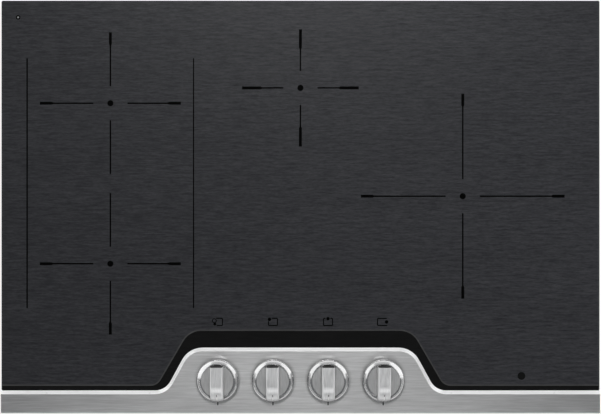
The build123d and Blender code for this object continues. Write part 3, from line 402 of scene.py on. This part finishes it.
scratchLook = {"stretch": (150, 900, 150), "tone": 0.82, "width": 0.05, "bump": (0.05, 0.0002)}
metalLooks = {
    "bright_hardware": {
        "dark": grey(0.50), "light": grey(0.66), "rough": (0.24, 0.38), "stretch": (400, 400, 120),
    },
    "alloy_sheet": {
        "dark": grey(0.56), "light": grey(0.70), "rough": (0.30, 0.44), "stretch": (30, 700, 200),
    },
}


def wornMetal(name):
    look = metalLooks[name]
    mat, tree, shader = startFinish(name)
    fine = grain(tree, look["stretch"], detail=5.0, rough=0.65)
    scratch = cells(tree, scratchLook["stretch"], "DISTANCE_TO_EDGE")["Distance"]
    mark = tinted(tree, scratch, grey(scratchLook["tone"]), grey(1.0), 0.0, scratchLook["width"])
    colour = multiplied(tree, tinted(tree, fine, look["dark"], look["light"]), mark)
    paint(tree, shader, colour, ranged(tree, fine, *look["rough"]))
    bumped(tree, shader, fine, *scratchLook["bump"])
    settle(shader, metal=1.0)
    return mat


copperLook = {
    "dark": (0.40, 0.13, 0.055),
    "light": (0.72, 0.30, 0.14),
    "strand": (1400, 1400, 1400),
    "patch": (60, 60, 60),
    "patchTone": 0.85,
    "rough": (0.28, 0.45),
    "metal": 0.9,
    "bump": (0.4, 0.0003),
}


def strandedCopper(name):  # bundle of enamelled strands
    mat, tree, shader = startFinish(name)
    strand = grain(tree, copperLook["strand"], detail=2.0)
    tone = patchy(tree, copperLook["patch"], copperLook["patchTone"])
    colour = multiplied(tree, tinted(tree, strand, copperLook["dark"], copperLook["light"]), tone)
    paint(tree, shader, colour, ranged(tree, strand, *copperLook["rough"]))
    bumped(tree, shader, strand, *copperLook["bump"])
    settle(shader, metal=copperLook["metal"])
    return mat


micaLook = {
    "dark": (0.36, 0.30, 0.20),
    "light": (0.56, 0.49, 0.36),
    "flake": (240, 240, 240),
    "flakeRamp": (0.1, 0.8),
    "rough": (0.3, 0.5),
    "roughRamp": (0.0, 0.8),
    "bump": (0.1, 0.0003),
}


def flakedMica():
    mat, tree, shader = startFinish("flaked_mica")
    flake = cells(tree, micaLook["flake"])["Distance"]
    colour = tinted(tree, flake, micaLook["dark"], micaLook["light"], *micaLook["flakeRamp"])
    paint(tree, shader, colour, ranged(tree, flake, *micaLook["rough"], *micaLook["roughRamp"]))
    bumped(tree, shader, flake, *micaLook["bump"])
    settle(shader)
    return mat


boardLook = {
    "mask": (0.010, 0.085, 0.030),
    "track": (0.022, 0.15, 0.055),
    "trackNet": (110, 70, 60),
    "trackRamp": (0.05, 0.09),
    "weave": (900, 900, 300),
    "weaveTone": 0.85,
    "rough": (0.28, 0.4),
    "roughRamp": (0.0, 0.2),
    "bump": (0.08, 0.0002),
}


def printedBoard():  # solder mask over copper tracks
    mat, tree, shader = startFinish("green_circuit_board")
    track = cells(tree, boardLook["trackNet"], "DISTANCE_TO_EDGE")["Distance"]
    colour = tinted(tree, track, boardLook["track"], boardLook["mask"], *boardLook["trackRamp"])
    weave = patchy(tree, boardLook["weave"], boardLook["weaveTone"], detail=2.0)
    rough = ranged(tree, track, *boardLook["rough"], *boardLook["roughRamp"])
    paint(tree, shader, multiplied(tree, colour, weave), rough)
    bumped(tree, shader, track, *boardLook["bump"])
    settle(shader)
    return mat


finishes = {
    "glass": brushedGlass(),
    "trim": brushedSteel("brushed_stainless_trim", trimLook),
    "ring": polishedChrome(),
    "cap": brushedSteel("brushed_knob_cap", faceLook),
    "zinc": spangledZinc(),
    "mica": flakedMica(),
    "board": printedBoard(),
    "copper": strandedCopper("stranded_copper"),
    "choke": strandedCopper("choke_wire"),
}
for name in plainLooks:
    finishes[name] = mouldedFinish(name)
for name in metalLooks:
    finishes[name] = wornMetal(name)
print("finishes made:", len(finishes))

# finish of each solid, by the start of its name
nodeFinish = {
    "glass_top": "glass", "control_trim": "trim", "knob_skirt": "ring", "knob_cap": "cap",
    "knob_shaft": "bright_hardware", "return_spring": "bright_hardware", "knob_bracket": "zinc",
    "encoders": "black_moulding", "shaft_seals": "dark_silicone", "indicator_lens": "red_lens",
    "interface_board": "board", "level_displays": "black_moulding", "control_ribbon": "white_sleeve",
    "burner_box": "zinc", "rim_gasket": "grey_foam", "coil_tray": "alloy_sheet",
    "coil_former": "cream_former", "winding": "copper", "mica_discs": "mica",
    "ferrite_bars": "dark_ferrite", "coil_springs": "bright_hardware", "coil_sensors": "white_sleeve",
    "coil_leads": "white_sleeve", "generator_board": "board", "heatsink": "alloy_sheet",
    "power_transistors": "black_moulding", "capacitors": "blue_case", "chokes": "choke",
    "fan_frame": "black_moulding", "fan_rotor": "black_moulding", "filter_board": "board",
    "terminal_block": "black_moulding", "conduit_bushing": "black_moulding",
    "mains_wires": "black_moulding", "hold_down_brackets": "bright_hardware",
    "clamp_screws": "bright_hardware", "case_screws": "bright_hardware",
}
for nodeName, node in nodes.items():
    finish = next(nodeFinish[start] for start in nodeFinish if nodeName.startswith(start))
    node.data.materials.clear()
    node.data.materials.append(finishes[finish])
print("solids dressed")


# mesh helpers, in millimetres; a layer is the heights of its underside and its top
def newPiece(name, mesh, finish, body):
    data = bpy.data.meshes.new(name)
    bmesh.ops.recalc_face_normals(mesh, faces=mesh.faces[:])
    bmesh.ops.scale(mesh, vec=(mm, mm, mm), verts=mesh.verts[:])
    mesh.to_mesh(data)
    mesh.free()
    piece = bpy.data.objects.new(name, data)
    bpy.context.scene.collection.objects.link(piece)
    data.materials.append(finishes[finish])
    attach(piece, body)
    return piece


def skin(mesh, rows):  # walls between rows of points, closed at both ends
    for here, there in zip(rows, rows[1:]):
        for k in range(len(here)):
            mesh.faces.new((here[k - 1], here[k], there[k], there[k - 1]))
    mesh.faces.new(rows[0])
    mesh.faces.new(rows[-1][::-1])


def layerOver(face, low, high):
    return (face + low, face + high)


def inkPatch(mesh, outline, layer):  # thin layer of ink over a closed outline
    low, high = layer
    foot = [mesh.verts.new((x, y, low)) for x, y in outline]
    head = [mesh.verts.new((x, y, high)) for x, y in outline]
    mesh.faces.new(head)
    mesh.faces.new(foot[::-1])
    for i in range(len(outline)):
        j = (i + 1) % len(outline)
        mesh.faces.new((foot[i], foot[j], head[j], head[i]))


def stroke(mesh, start, end, width, layer, steps=6):  # line with round ends
    a, b = Vector(start), Vector(end)
    along = (b - a).normalized()
    turn = math.atan2(along.y, along.x)
    radius = width / 2
    outline = []
    for centre, first in ((b - along * radius, -90), (a + along * radius, 90)):
        for k in range(steps + 1):
            angle = turn + math.radians(first + 180 * k / steps)
            outline.append((centre.x + radius * math.cos(angle), centre.y + radius * math.sin(angle)))
    inkPatch(mesh, outline, layer)


def disc(mesh, x, y, radius, layer, steps=40):
    angles = [2 * math.pi * k / steps for k in range(steps)]
    inkPatch(mesh, [(x + radius * math.cos(a), y + radius * math.sin(a)) for a in angles], layer)


def roundedPath(points, radii, steps=18):  # open line with each inner corner rounded
    path = [Vector(points[0])]
    for before, here, after, radius in zip(points, points[1:], points[2:], radii):
        corner = Vector(here)
        back = (Vector(before) - corner).normalized()
        ahead = (Vector(after) - corner).normalized()
        half = back.angle(ahead) / 2
        centre = corner + (back + ahead).normalized() * radius / math.sin(half)
        start = corner + back * radius / math.tan(half) - centre
        end = corner + ahead * radius / math.tan(half) - centre
        first = math.atan2(start.y, start.x)
        sweep = math.atan2(end.y, end.x) - first
        sweep = (sweep + math.pi) % (2 * math.pi) - math.pi
        for k in range(steps + 1):
            angle = first + sweep * k / steps
            path.append(centre + radius * Vector((math.cos(angle), math.sin(angle))))
    path.append(Vector(points[-1]))
    return path


def shifted(points, amount):  # the same open line, moved to its left
    lines = []
    for start, end in zip(points, points[1:]):
        a, b = Vector(start), Vector(end)
        along = (b - a).normalized()
        out = Vector((-along.y, along.x)) * amount
        lines.append((a + out, along))
    moved = [lines[0][0]]
    for (p, d), (q, e) in zip(lines, lines[1:]):
        t = ((q - p).x * e.y - (q - p).y * e.x) / (d.x * e.y - d.y * e.x)
        moved.append(p + d * t)
    p, d = lines[-1]
    moved.append(p + d * (Vector(points[-1]) - Vector(points[-2])).length)
    return [(v.x, v.y) for v in moved]


def ribbon(mesh, inner, outer, layer):  # thin layer between two lines with the same number of points
    low, high = layer
    rows = []
    for a, b in zip(inner, outer):
        corners = ((a, high), (b, high), (b, low), (a, low))
        rows.append([mesh.verts.new((p.x, p.y, z)) for p, z in corners])
    skin(mesh, rows)


# print on the glass, over its face; a stroke that crosses another stands a step higher
ink = {"low": 0.01, "high": 0.05, "sideHigh": 0.055, "crossingHigh": 0.06}
glassInk = layerOver(top["glassFace"], ink["low"], ink["high"])
sideInk = layerOver(top["glassFace"], ink["low"], ink["sideHigh"])
crossingInk = layerOver(top["glassFace"], ink["low"], ink["crossingHigh"])

# black band on the glass, behind the control trim
band = {
    "gap": 0.75,  # from the trim
    "end": 389.3,
    "wingLine": -233.9,
    "humpLine": -162.1,
    "foot": 187.0,
    "head": 145.0,
    "footRadius": 16.0,
    "headRadius": 27.0,
    "borderWidth": 1.7,
}


def humpLine(end, wing, hump, foot, head):
    return [(-end, wing), (-foot, wing), (-head, hump), (head, hump), (foot, wing), (end, wing)]


def roundedHump(line, footRadius, headRadius, offset):  # the line moved outwards, its corners rounded to suit
    radii = [footRadius - offset, headRadius + offset]
    return roundedPath(shifted(line, offset), radii + radii[::-1])


trimLine = humpLine(band["end"], top["wingLine"], top["humpLine"], top["humpFoot"], top["humpHead"])
bandLine = humpLine(band["end"], band["wingLine"], band["humpLine"], band["foot"], band["head"])
inner = roundedHump(trimLine, top["footRadius"], top["headRadius"], band["gap"])
outer = roundedHump(bandLine, band["footRadius"], band["headRadius"], 0.0)
border = roundedHump(bandLine, band["footRadius"], band["headRadius"], band["borderWidth"])
mesh = bmesh.new()
ribbon(mesh, inner, outer, glassInk)
newPiece("display_band", mesh, "black_gloss_band", "cooktop")
mesh = bmesh.new()
ribbon(mesh, outer, border, glassInk)
newPiece("band_border", mesh, "band_border", "cooktop")
print("display band laid")

# bead of dark sealant in the joint between the trim and the glass
bead = {
    "section": (  # offset from the trim's edge, height over the glass
        (0.5, -0.4), (0.06, -0.4), (0.03, -0.05), (-0.2, 0.32),
        (0.1, 0.36), (0.35, 0.32), (0.6, 0.2), (0.72, 0.05),
    ),
}
lines = []
for offset, rise in bead["section"]:
    line = roundedHump(trimLine, top["footRadius"], top["headRadius"], offset)
    lines.append([(p.x, p.y, top["glassFace"] + rise) for p in line])
mesh = bmesh.new()
skin(mesh, [[mesh.verts.new(point) for point in row] for row in zip(*lines)])
newPiece("trim_seal", mesh, "black_seal", "cooktop")
print("trim sealed")

# crosshairs of the cooking zones: centre, half lengths, length of the thick ends and of their taper
crosshair = {
    "gap": 22.1,
    "thin": 1.85,
    "thick": 3.85,
    "dot": 3.95,
    "arms": {"right": (1, 0), "left": (-1, 0), "rear": (0, 1), "front": (0, -1)},
    "zones": {
        "left_rear": {
            "centre": (-248.15, 135.0), "reach": (92.0, 92.6), "end": 17.8, "taper": 3.4, "plainArm": "front",
        },
        "left_front": {
            "centre": (-248.2, -74.5), "reach": (92.0, 92.4), "end": 17.6, "taper": 3.4, "plainArm": "rear",
        },
        "centre_rear": {
            "centre": (-0.1, 155.0), "reach": (76.1, 76.4), "end": 25.8, "taper": 1.6, "plainArm": None,
        },
        "right": {
            "centre": (211.8, 13.65), "reach": (132.9, 133.8), "end": 16.9, "taper": 1.6, "plainArm": None,
        },
    },
}
for zoneName, zone in crosshair["zones"].items():
    mesh = bmesh.new()
    centre = Vector(zone["centre"])
    disc(mesh, *centre, crosshair["dot"], glassInk)
    for armName, way in crosshair["arms"].items():
        way = Vector(way)
        reach = zone["reach"][0] if way.x else zone["reach"][1]
        thinEnd = reach if armName == zone["plainArm"] else reach - zone["end"] / 2
        stroke(mesh, centre + way * crosshair["gap"], centre + way * thinEnd, crosshair["thin"], glassInk)
        if armName != zone["plainArm"]:
            across = Vector((-way.y, way.x))
            start = reach - zone["end"]
            profile = (
                (start, crosshair["thin"]),
                (start + zone["taper"], crosshair["thick"]),
                (reach, crosshair["thick"]),
            )
            side = [centre + way * along + across * width / 2 for along, width in profile]
            other = [centre + way * along - across * width / 2 for along, width in profile]
            inkPatch(mesh, side + other[::-1], crossingInk)
    newPiece("crosshair_" + zoneName, mesh, "black_print", "cooktop")

# long lines either side of the two left zones
bridge = {"lines": ((-356.85, 1.8), (-139.6, 1.45)), "rear": 193.8, "front": -132.6}
mesh = bmesh.new()
for x, width in bridge["lines"]:
    stroke(mesh, (x, bridge["front"]), (x, bridge["rear"]), width, glassInk)
newPiece("bridge_lines", mesh, "black_print", "cooktop")

# small round mark near the rear left corner, dark with a pale middle
cornerMark = {"place": (-368.6, 247.1), "radius": 2.9, "middle": 1.25, "middleHigh": 0.07}
mesh = bmesh.new()
disc(mesh, *cornerMark["place"], cornerMark["radius"], glassInk)
newPiece("corner_mark", mesh, "black_print", "cooktop")
mesh = bmesh.new()
middleInk = layerOver(top["glassFace"], ink["low"], cornerMark["middleHigh"])
disc(mesh, *cornerMark["place"], cornerMark["middle"], middleInk)
newPiece("corner_mark_middle", mesh, "pale_print", "cooktop")

# small plans of the top that show each knob's zone: frame ends and dot, from the knob's line
icon = {
    "line": -150.5,
    "front": -4.7,
    "rear": 4.7,
    "stroke": 1.35,
    "plans": (
        {"lines": (("rear", -2.6, 5.65), ("front", -1.8, 5.65)),
         "sides": ((5.65, 4.7),), "dot": (-4.3, -2.75, 1.85)},
        {"lines": (("rear", -1.3, 5.8), ("front", -5.95, 5.8)),
         "sides": ((-5.95, 1.0), (5.8, 4.7)), "dot": (-4.65, 3.3, 2.2)},
        {"lines": (("rear", -5.8, -3.1), ("rear", 3.1, 5.95), ("front", -5.8, 5.95)),
         "sides": ((-5.8, 4.7), (5.95, 4.7)), "dot": (0.0, 4.3, 2.15)},
        {"lines": (("rear", -6.95, 5.2), ("front", -6.95, 5.9)),
         "sides": ((-6.95, 4.7),), "dot": (4.8, 0.0, 2.25)},
    ),
    "ring": (-4.95, 1.55, 2.6, 1.05),  # place, radius and width, on the first plan only
    "ringSteps": 32,
}
mesh = bmesh.new()
for x, plan in zip(top["knobX"], icon["plans"]):
    for edge, left, right in plan["lines"]:
        y = icon["line"] + icon[edge]
        stroke(mesh, (x + left, y), (x + right, y), icon["stroke"], glassInk)
    for side, reach in plan["sides"]:
        start = (x + side, icon["line"] + icon["front"])
        stroke(mesh, start, (x + side, icon["line"] + reach), icon["stroke"], sideInk)
    dotX, dotY, dotRadius = plan["dot"]
    disc(mesh, x + dotX, icon["line"] + dotY, dotRadius, crossingInk)
ringX, ringY, ringRadius, ringWidth = icon["ring"]
ringCentre = Vector((top["knobX"][0] + ringX, icon["line"] + ringY))
angles = [2 * math.pi * k / icon["ringSteps"] for k in range(icon["ringSteps"] + 1)]
around = [Vector((math.cos(a), math.sin(a))) for a in angles]
ringInside = [ringCentre + way * (ringRadius - ringWidth / 2) for way in around]
ringOutside = [ringCentre + way * (ringRadius + ringWidth / 2) for way in around]
ribbon(mesh, ringInside, ringOutside, glassInk)
newPiece("zone_plans", mesh, "black_print", "cooktop")

# round window of the indicator
window = {"place": (288.4, -221.0), "radius": 5.0}
mesh = bmesh.new()
disc(mesh, *window["place"], window["radius"], glassInk)
newPiece("indicator_window", mesh, "black_gloss_band", "cooktop")

# short position marks on the trim, one in front of each knob
tick = {"width": 1.5, "rear": -251.5, "front": -258.5, "ink": (0.005, 0.04)}
tickInk = layerOver(top["trimFace"], *tick["ink"])
mesh = bmesh.new()
for x in top["knobX"]:
    stroke(mesh, (x, tick["front"]), (x, tick["rear"]), tick["width"], tickInk)
newPiece("position_marks", mesh, "black_print", "cooktop")
print("print on the glass and trim laid")

# knobs: a dark plate on the grip's rear wall and dark patches on the face and rim behind it, painted shade in
# the hollow behind the grip; and the pointer on the grip's nose
shadePlate = {
    "back": 19.8,
    "gap": 0.02,
    "thick": 0.3,
    "low": 115.15,
    "high": 130.8,
    "half": (8.55, 7.7),  # at its foot and at its head
    "shoulder": 3.0,
    "corner": 0.9,
    "softEdge": 0.12,
    "softSteps": 2,
}
shadeInlay = {
    "gap": 0.05,  # from the plate
    "faceRadius": 20.7,
    "faceStart": 19.6,
    "faceLevel": 114.7,
    "faceShadeLayer": (0.01, 0.06),
    "rim": (20.82, 21.26, 115.1),  # inner and outer radius, height
    "rimShadeLayer": (0.01, 0.05),
    "rimSpread": 28.0,  # degrees to each side
    "steps": 24,
}
pointer = {
    "noseCentre": (-2.0, 107.064),
    "noseRadius": 23.936,
    "range": (34.0, 72.0),  # degrees down the nose
    "half": 2.2,
    "tip": 0.45,  # share of that width at its upper end
    "crest": 0.6,  # share of the width that its top has
    "rise": 0.4,
    "ramp": (0.1, 4.0),  # share of the rise at its upper end, and how fast it grows
    "sink": 0.1,
    "steps": 16,
}
faceShadeLayer = layerOver(shadeInlay["faceLevel"], *shadeInlay["faceShadeLayer"])
rimInside, rimOutside, rimLevel = shadeInlay["rim"]
rimShadeLayer = layerOver(rimLevel, *shadeInlay["rimShadeLayer"])
shares = [2 * k / shadeInlay["steps"] - 1 for k in range(shadeInlay["steps"] + 1)]  # from one side to the other
for number, x in enumerate(top["knobX"], 1):
    y = top["knobLine"]
    # painted shade: a dark plate over the grip's rear wall
    mesh = bmesh.new()
    footHalf, headHalf = shadePlate["half"]
    shoulder = shadePlate["high"] - shadePlate["shoulder"]
    head = [
        (-headHalf, shoulder), (-headHalf, shadePlate["high"]),
        (headHalf, shadePlate["high"]), (headHalf, shoulder),
    ]
    arch = roundedPath(head, [shadePlate["corner"]] * 2, steps=8)
    outline = [Vector((-footHalf, shadePlate["low"]))] + arch + [Vector((footHalf, shadePlate["low"]))]
    rear = y + shadePlate["back"] + shadePlate["gap"]
    face = mesh.faces.new([mesh.verts.new((x + p.x, rear, p.y)) for p in outline])
    drawn = bmesh.ops.extrude_face_region(mesh, geom=[face])
    moved = [v for v in drawn["geom"] if isinstance(v, bmesh.types.BMVert)]
    bmesh.ops.translate(mesh, verts=moved, vec=(0, shadePlate["thick"], 0))
    endShade = newPiece("grip_end_%d" % number, mesh, "shade_black", "knob_%d" % number)
    bevel = endShade.modifiers.new("softEdge", "BEVEL")
    bevel.width = shadePlate["softEdge"] * mm
    bevel.segments = shadePlate["softSteps"]

    # painted shade: dark patches on the face and on the ring's rim just behind the grip
    mesh = bmesh.new()
    radius = shadeInlay["faceRadius"]
    spread = math.acos((shadePlate["back"] + shadePlate["thick"] + shadeInlay["gap"]) / radius)
    angles = [math.pi / 2 + spread * share for share in shares]
    inkPatch(mesh, [(x + radius * math.cos(a), y + radius * math.sin(a)) for a in angles], faceShadeLayer)
    axis = Vector((x, y))
    angles = [math.radians(90 + shadeInlay["rimSpread"] * share) for share in shares]
    ways = [Vector((math.cos(a), math.sin(a))) for a in angles]
    ribbon(mesh, [axis + way * rimInside for way in ways], [axis + way * rimOutside for way in ways], rimShadeLayer)
    faceStart = [axis + way * shadeInlay["faceStart"] for way in ways]
    ribbon(mesh, faceStart, [axis + way * radius for way in ways], faceShadeLayer)
    newPiece("face_inlay_%d" % number, mesh, "shade_black", "knob_%d" % number)

    mesh = bmesh.new()
    rows = []
    centre = Vector((x, y + pointer["noseCentre"][0], pointer["noseCentre"][1]))
    upper, lower = pointer["range"]
    riseStart, riseGrowth = pointer["ramp"]
    for k in range(pointer["steps"] + 1):
        share = k / pointer["steps"]
        angle = math.radians(upper + (lower - upper) * share)
        half = pointer["half"] * (pointer["tip"] + (1 - pointer["tip"]) * share)
        rise = pointer["rise"] * min(1.0, riseStart + riseGrowth * share)
        out = Vector((0, -math.sin(angle), math.cos(angle)))
        foot = centre + out * (pointer["noseRadius"] - pointer["sink"])
        crest = centre + out * (pointer["noseRadius"] + rise)
        side = Vector((half, 0, 0))
        crestSide = side * pointer["crest"]
        section = (foot - side, crest - crestSide, crest + crestSide, foot + side)
        rows.append([mesh.verts.new(p) for p in section])
    skin(mesh, rows)
    newPiece("pointer_%d" % number, mesh, "ring", "knob_%d" % number)
print("knob details added")

# return springs round the shafts, drawn as coils in place of the solid ones
spring = {
    "radius": 4.6,
    "wire": 0.3,
    "turns": 3.5,
    "foot": 104.8,
    "low": 105.15,
    "high": 110.15,
    "keep": 0.55,
    "steps": 28,
    "sides": 10,
}
up = Vector((0, 0, 1))
count = round(spring["turns"] * spring["steps"])
turns = [-2 * math.pi * side / spring["sides"] for side in range(spring["sides"])]
for number, x in enumerate(top["knobX"], 1):
    mesh = bmesh.new()
    rows = []
    for k in range(count + 1):
        angle = 2 * math.pi * k / spring["steps"]
        way = Vector((math.cos(angle), math.sin(angle), 0))
        level = spring["low"] + (spring["high"] - spring["low"]) * k / count
        centre = Vector((x, top["knobLine"], level)) + way * spring["radius"]
        section = [centre + (way * math.cos(t) + up * math.sin(t)) * spring["wire"] for t in turns]
        rows.append([mesh.verts.new(point) for point in section])
    skin(mesh, rows)
    coil = newPiece("spring_coil_%d" % number, mesh, "bright_hardware", "shaft_%d" % number)
    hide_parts("return_spring_%d" % number)
    foot = (x * mm, top["knobLine"] * mm, spring["foot"] * mm)
    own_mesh(coil)
print("springs fitted")

# floor
floorLook = {
    "size": 24.0,
    "grid": 8,
    "drop": 0.3,
    "dark": grey(0.80),
    "light": grey(0.86),
    "mottle": (3, 3, 3),
    "rough": 0.9,
    "specular": 0.1,
    "glow": 0.75,  # share of plain white where the floor is seen, also in metal and glass
}
mat, tree, shader = startFinish("pale_floor")
tone = tinted(tree, grain(tree, floorLook["mottle"], detail=3.0), floorLook["dark"], floorLook["light"])
tree.links.new(tone, shader.inputs["Base Color"])
shader.inputs["Roughness"].default_value = floorLook["rough"]
settle(shader, specular=floorLook["specular"])
path = tree.nodes.new("ShaderNodeLightPath")
seen = path.outputs["Is Camera Ray"]
for ray in ("Is Glossy Ray", "Is Transmission Ray"):
    either = tree.nodes.new("ShaderNodeMath")
    either.operation = "MAXIMUM"
    tree.links.new(seen, either.inputs[0])
    tree.links.new(path.outputs[ray], either.inputs[1])
    seen = either.outputs["Value"]
glow = tree.nodes.new("ShaderNodeMath")
glow.operation = "MULTIPLY"
glow.inputs[1].default_value = floorLook["glow"]
tree.links.new(seen, glow.inputs[0])
white = tree.nodes.new("ShaderNodeEmission")
white.inputs["Strength"].default_value = 1.0
blendIn = tree.nodes.new("ShaderNodeMixShader")
tree.links.new(glow.outputs["Value"], blendIn.inputs["Fac"])
tree.links.new(shader.outputs["BSDF"], blendIn.inputs[1])
tree.links.new(white.outputs["Emission"], blendIn.inputs[2])
tree.links.new(blendIn.outputs["Shader"], tree.nodes["Material Output"].inputs["Surface"])
mesh = bmesh.new()
grid = floorLook["grid"]
bmesh.ops.create_grid(mesh, x_segments=grid, y_segments=grid, size=floorLook["size"] / 2)
data = bpy.data.meshes.new("floor")
mesh.to_mesh(data)
mesh.free()
floor = bpy.data.objects.new("floor", data)
bpy.context.scene.collection.objects.link(floor)
floor.location.z = -floorLook["drop"] * mm
data.materials.append(mat)

# studio light: soft panels, each with its place, aim and size in metres and its power
panels = {
    "backSheet": {"place": (0.0, 2.2, 0.95), "aim": (0.0, 0.0, 0.95), "size": (2.5, 1.8), "power": 6.2},
    "backStrip": {"place": (0.0, 2.1, 0.62), "aim": (0.0, 0.0, 0.5), "size": (2.6, 0.36), "power": 1.9},
    "leftSheet": {"place": (-1.98, 0.945, 0.92), "aim": (0.0, -0.2, 0.92), "size": (2.8, 1.7), "power": 17.0},
    "rightSheet": {"place": (1.98, 0.945, 0.92), "aim": (0.0, -0.2, 0.92), "size": (2.8, 1.7), "power": 17.0},
    "leftStrip": {"place": (-2.15, -0.90, 0.72), "aim": (0.0, -0.2, 0.3), "size": (1.4, 0.3), "power": 0.85},
    "rightStrip": {"place": (2.15, -0.90, 0.66), "aim": (0.0, -0.2, 0.3), "size": (1.4, 0.3), "power": 0.85},
    "frontLeft": {"place": (-1.55, -1.92, 0.60), "aim": (0.0, -0.2, 0.2), "size": (1.0, 0.3), "power": 0.5},
    "frontRight": {"place": (1.55, -1.92, 0.56), "aim": (0.0, -0.2, 0.2), "size": (1.0, 0.3), "power": 0.4},
    "overhead": {"place": (0.0, 1.05, 2.30), "aim": (0.0, -0.05, 0.1), "size": (1.25, 0.9), "power": 28.5},
    "frontPanel": {"place": (0.0, -1.9, 1.75), "aim": (0.0, 0.0, 0.1), "size": (2.0, 1.3), "power": 9.0},
}
for panelName, panel in panels.items():
    light = bpy.data.lights.new(panelName, "AREA")
    light.shape = "RECTANGLE"
    light.size, light.size_y = panel["size"]
    light.energy = panel["power"]
    lamp = bpy.data.objects.new(panelName, light)
    bpy.context.scene.collection.objects.link(lamp)
    lamp.location = panel["place"]
    toAim = Vector(panel["aim"]) - Vector(panel["place"])
    lamp.rotation_euler = toAim.to_track_quat("-Z", "Y").to_euler()
    lamp.visible_camera = False

# sky, pale near the floor and dim above
sky = {"low": grey(0.80), "high": (0.171, 0.175, 0.180), "fade": (0.0, 0.11)}
world = bpy.context.scene.world or bpy.data.worlds.new("studio")
bpy.context.scene.world = world
world.use_nodes = True
tree = world.node_tree
background = tree.nodes["Background"]
coord = tree.nodes.new("ShaderNodeTexCoord")
height = split(tree, coord.outputs["Generated"])["Z"]
tree.links.new(tinted(tree, height, sky["low"], sky["high"], *sky["fade"]), background.inputs["Color"])
background.inputs["Strength"].default_value = 1.0
bpy.context.scene.view_settings.view_transform = "Standard"
print("studio set")

# camera straight above the middle of the top
view = {"place": (0.0, -0.00046, 1.448), "lens": 61.95, "sensor": 36.0}
camera = bpy.data.objects.new("camera", bpy.data.cameras.new("camera"))
bpy.context.scene.collection.objects.link(camera)
camera.location = view["place"]
camera.data.lens = view["lens"]
camera.data.sensor_width = view["sensor"]
camera.data.sensor_fit = "HORIZONTAL"
bpy.context.scene.camera = camera

print("camera set")
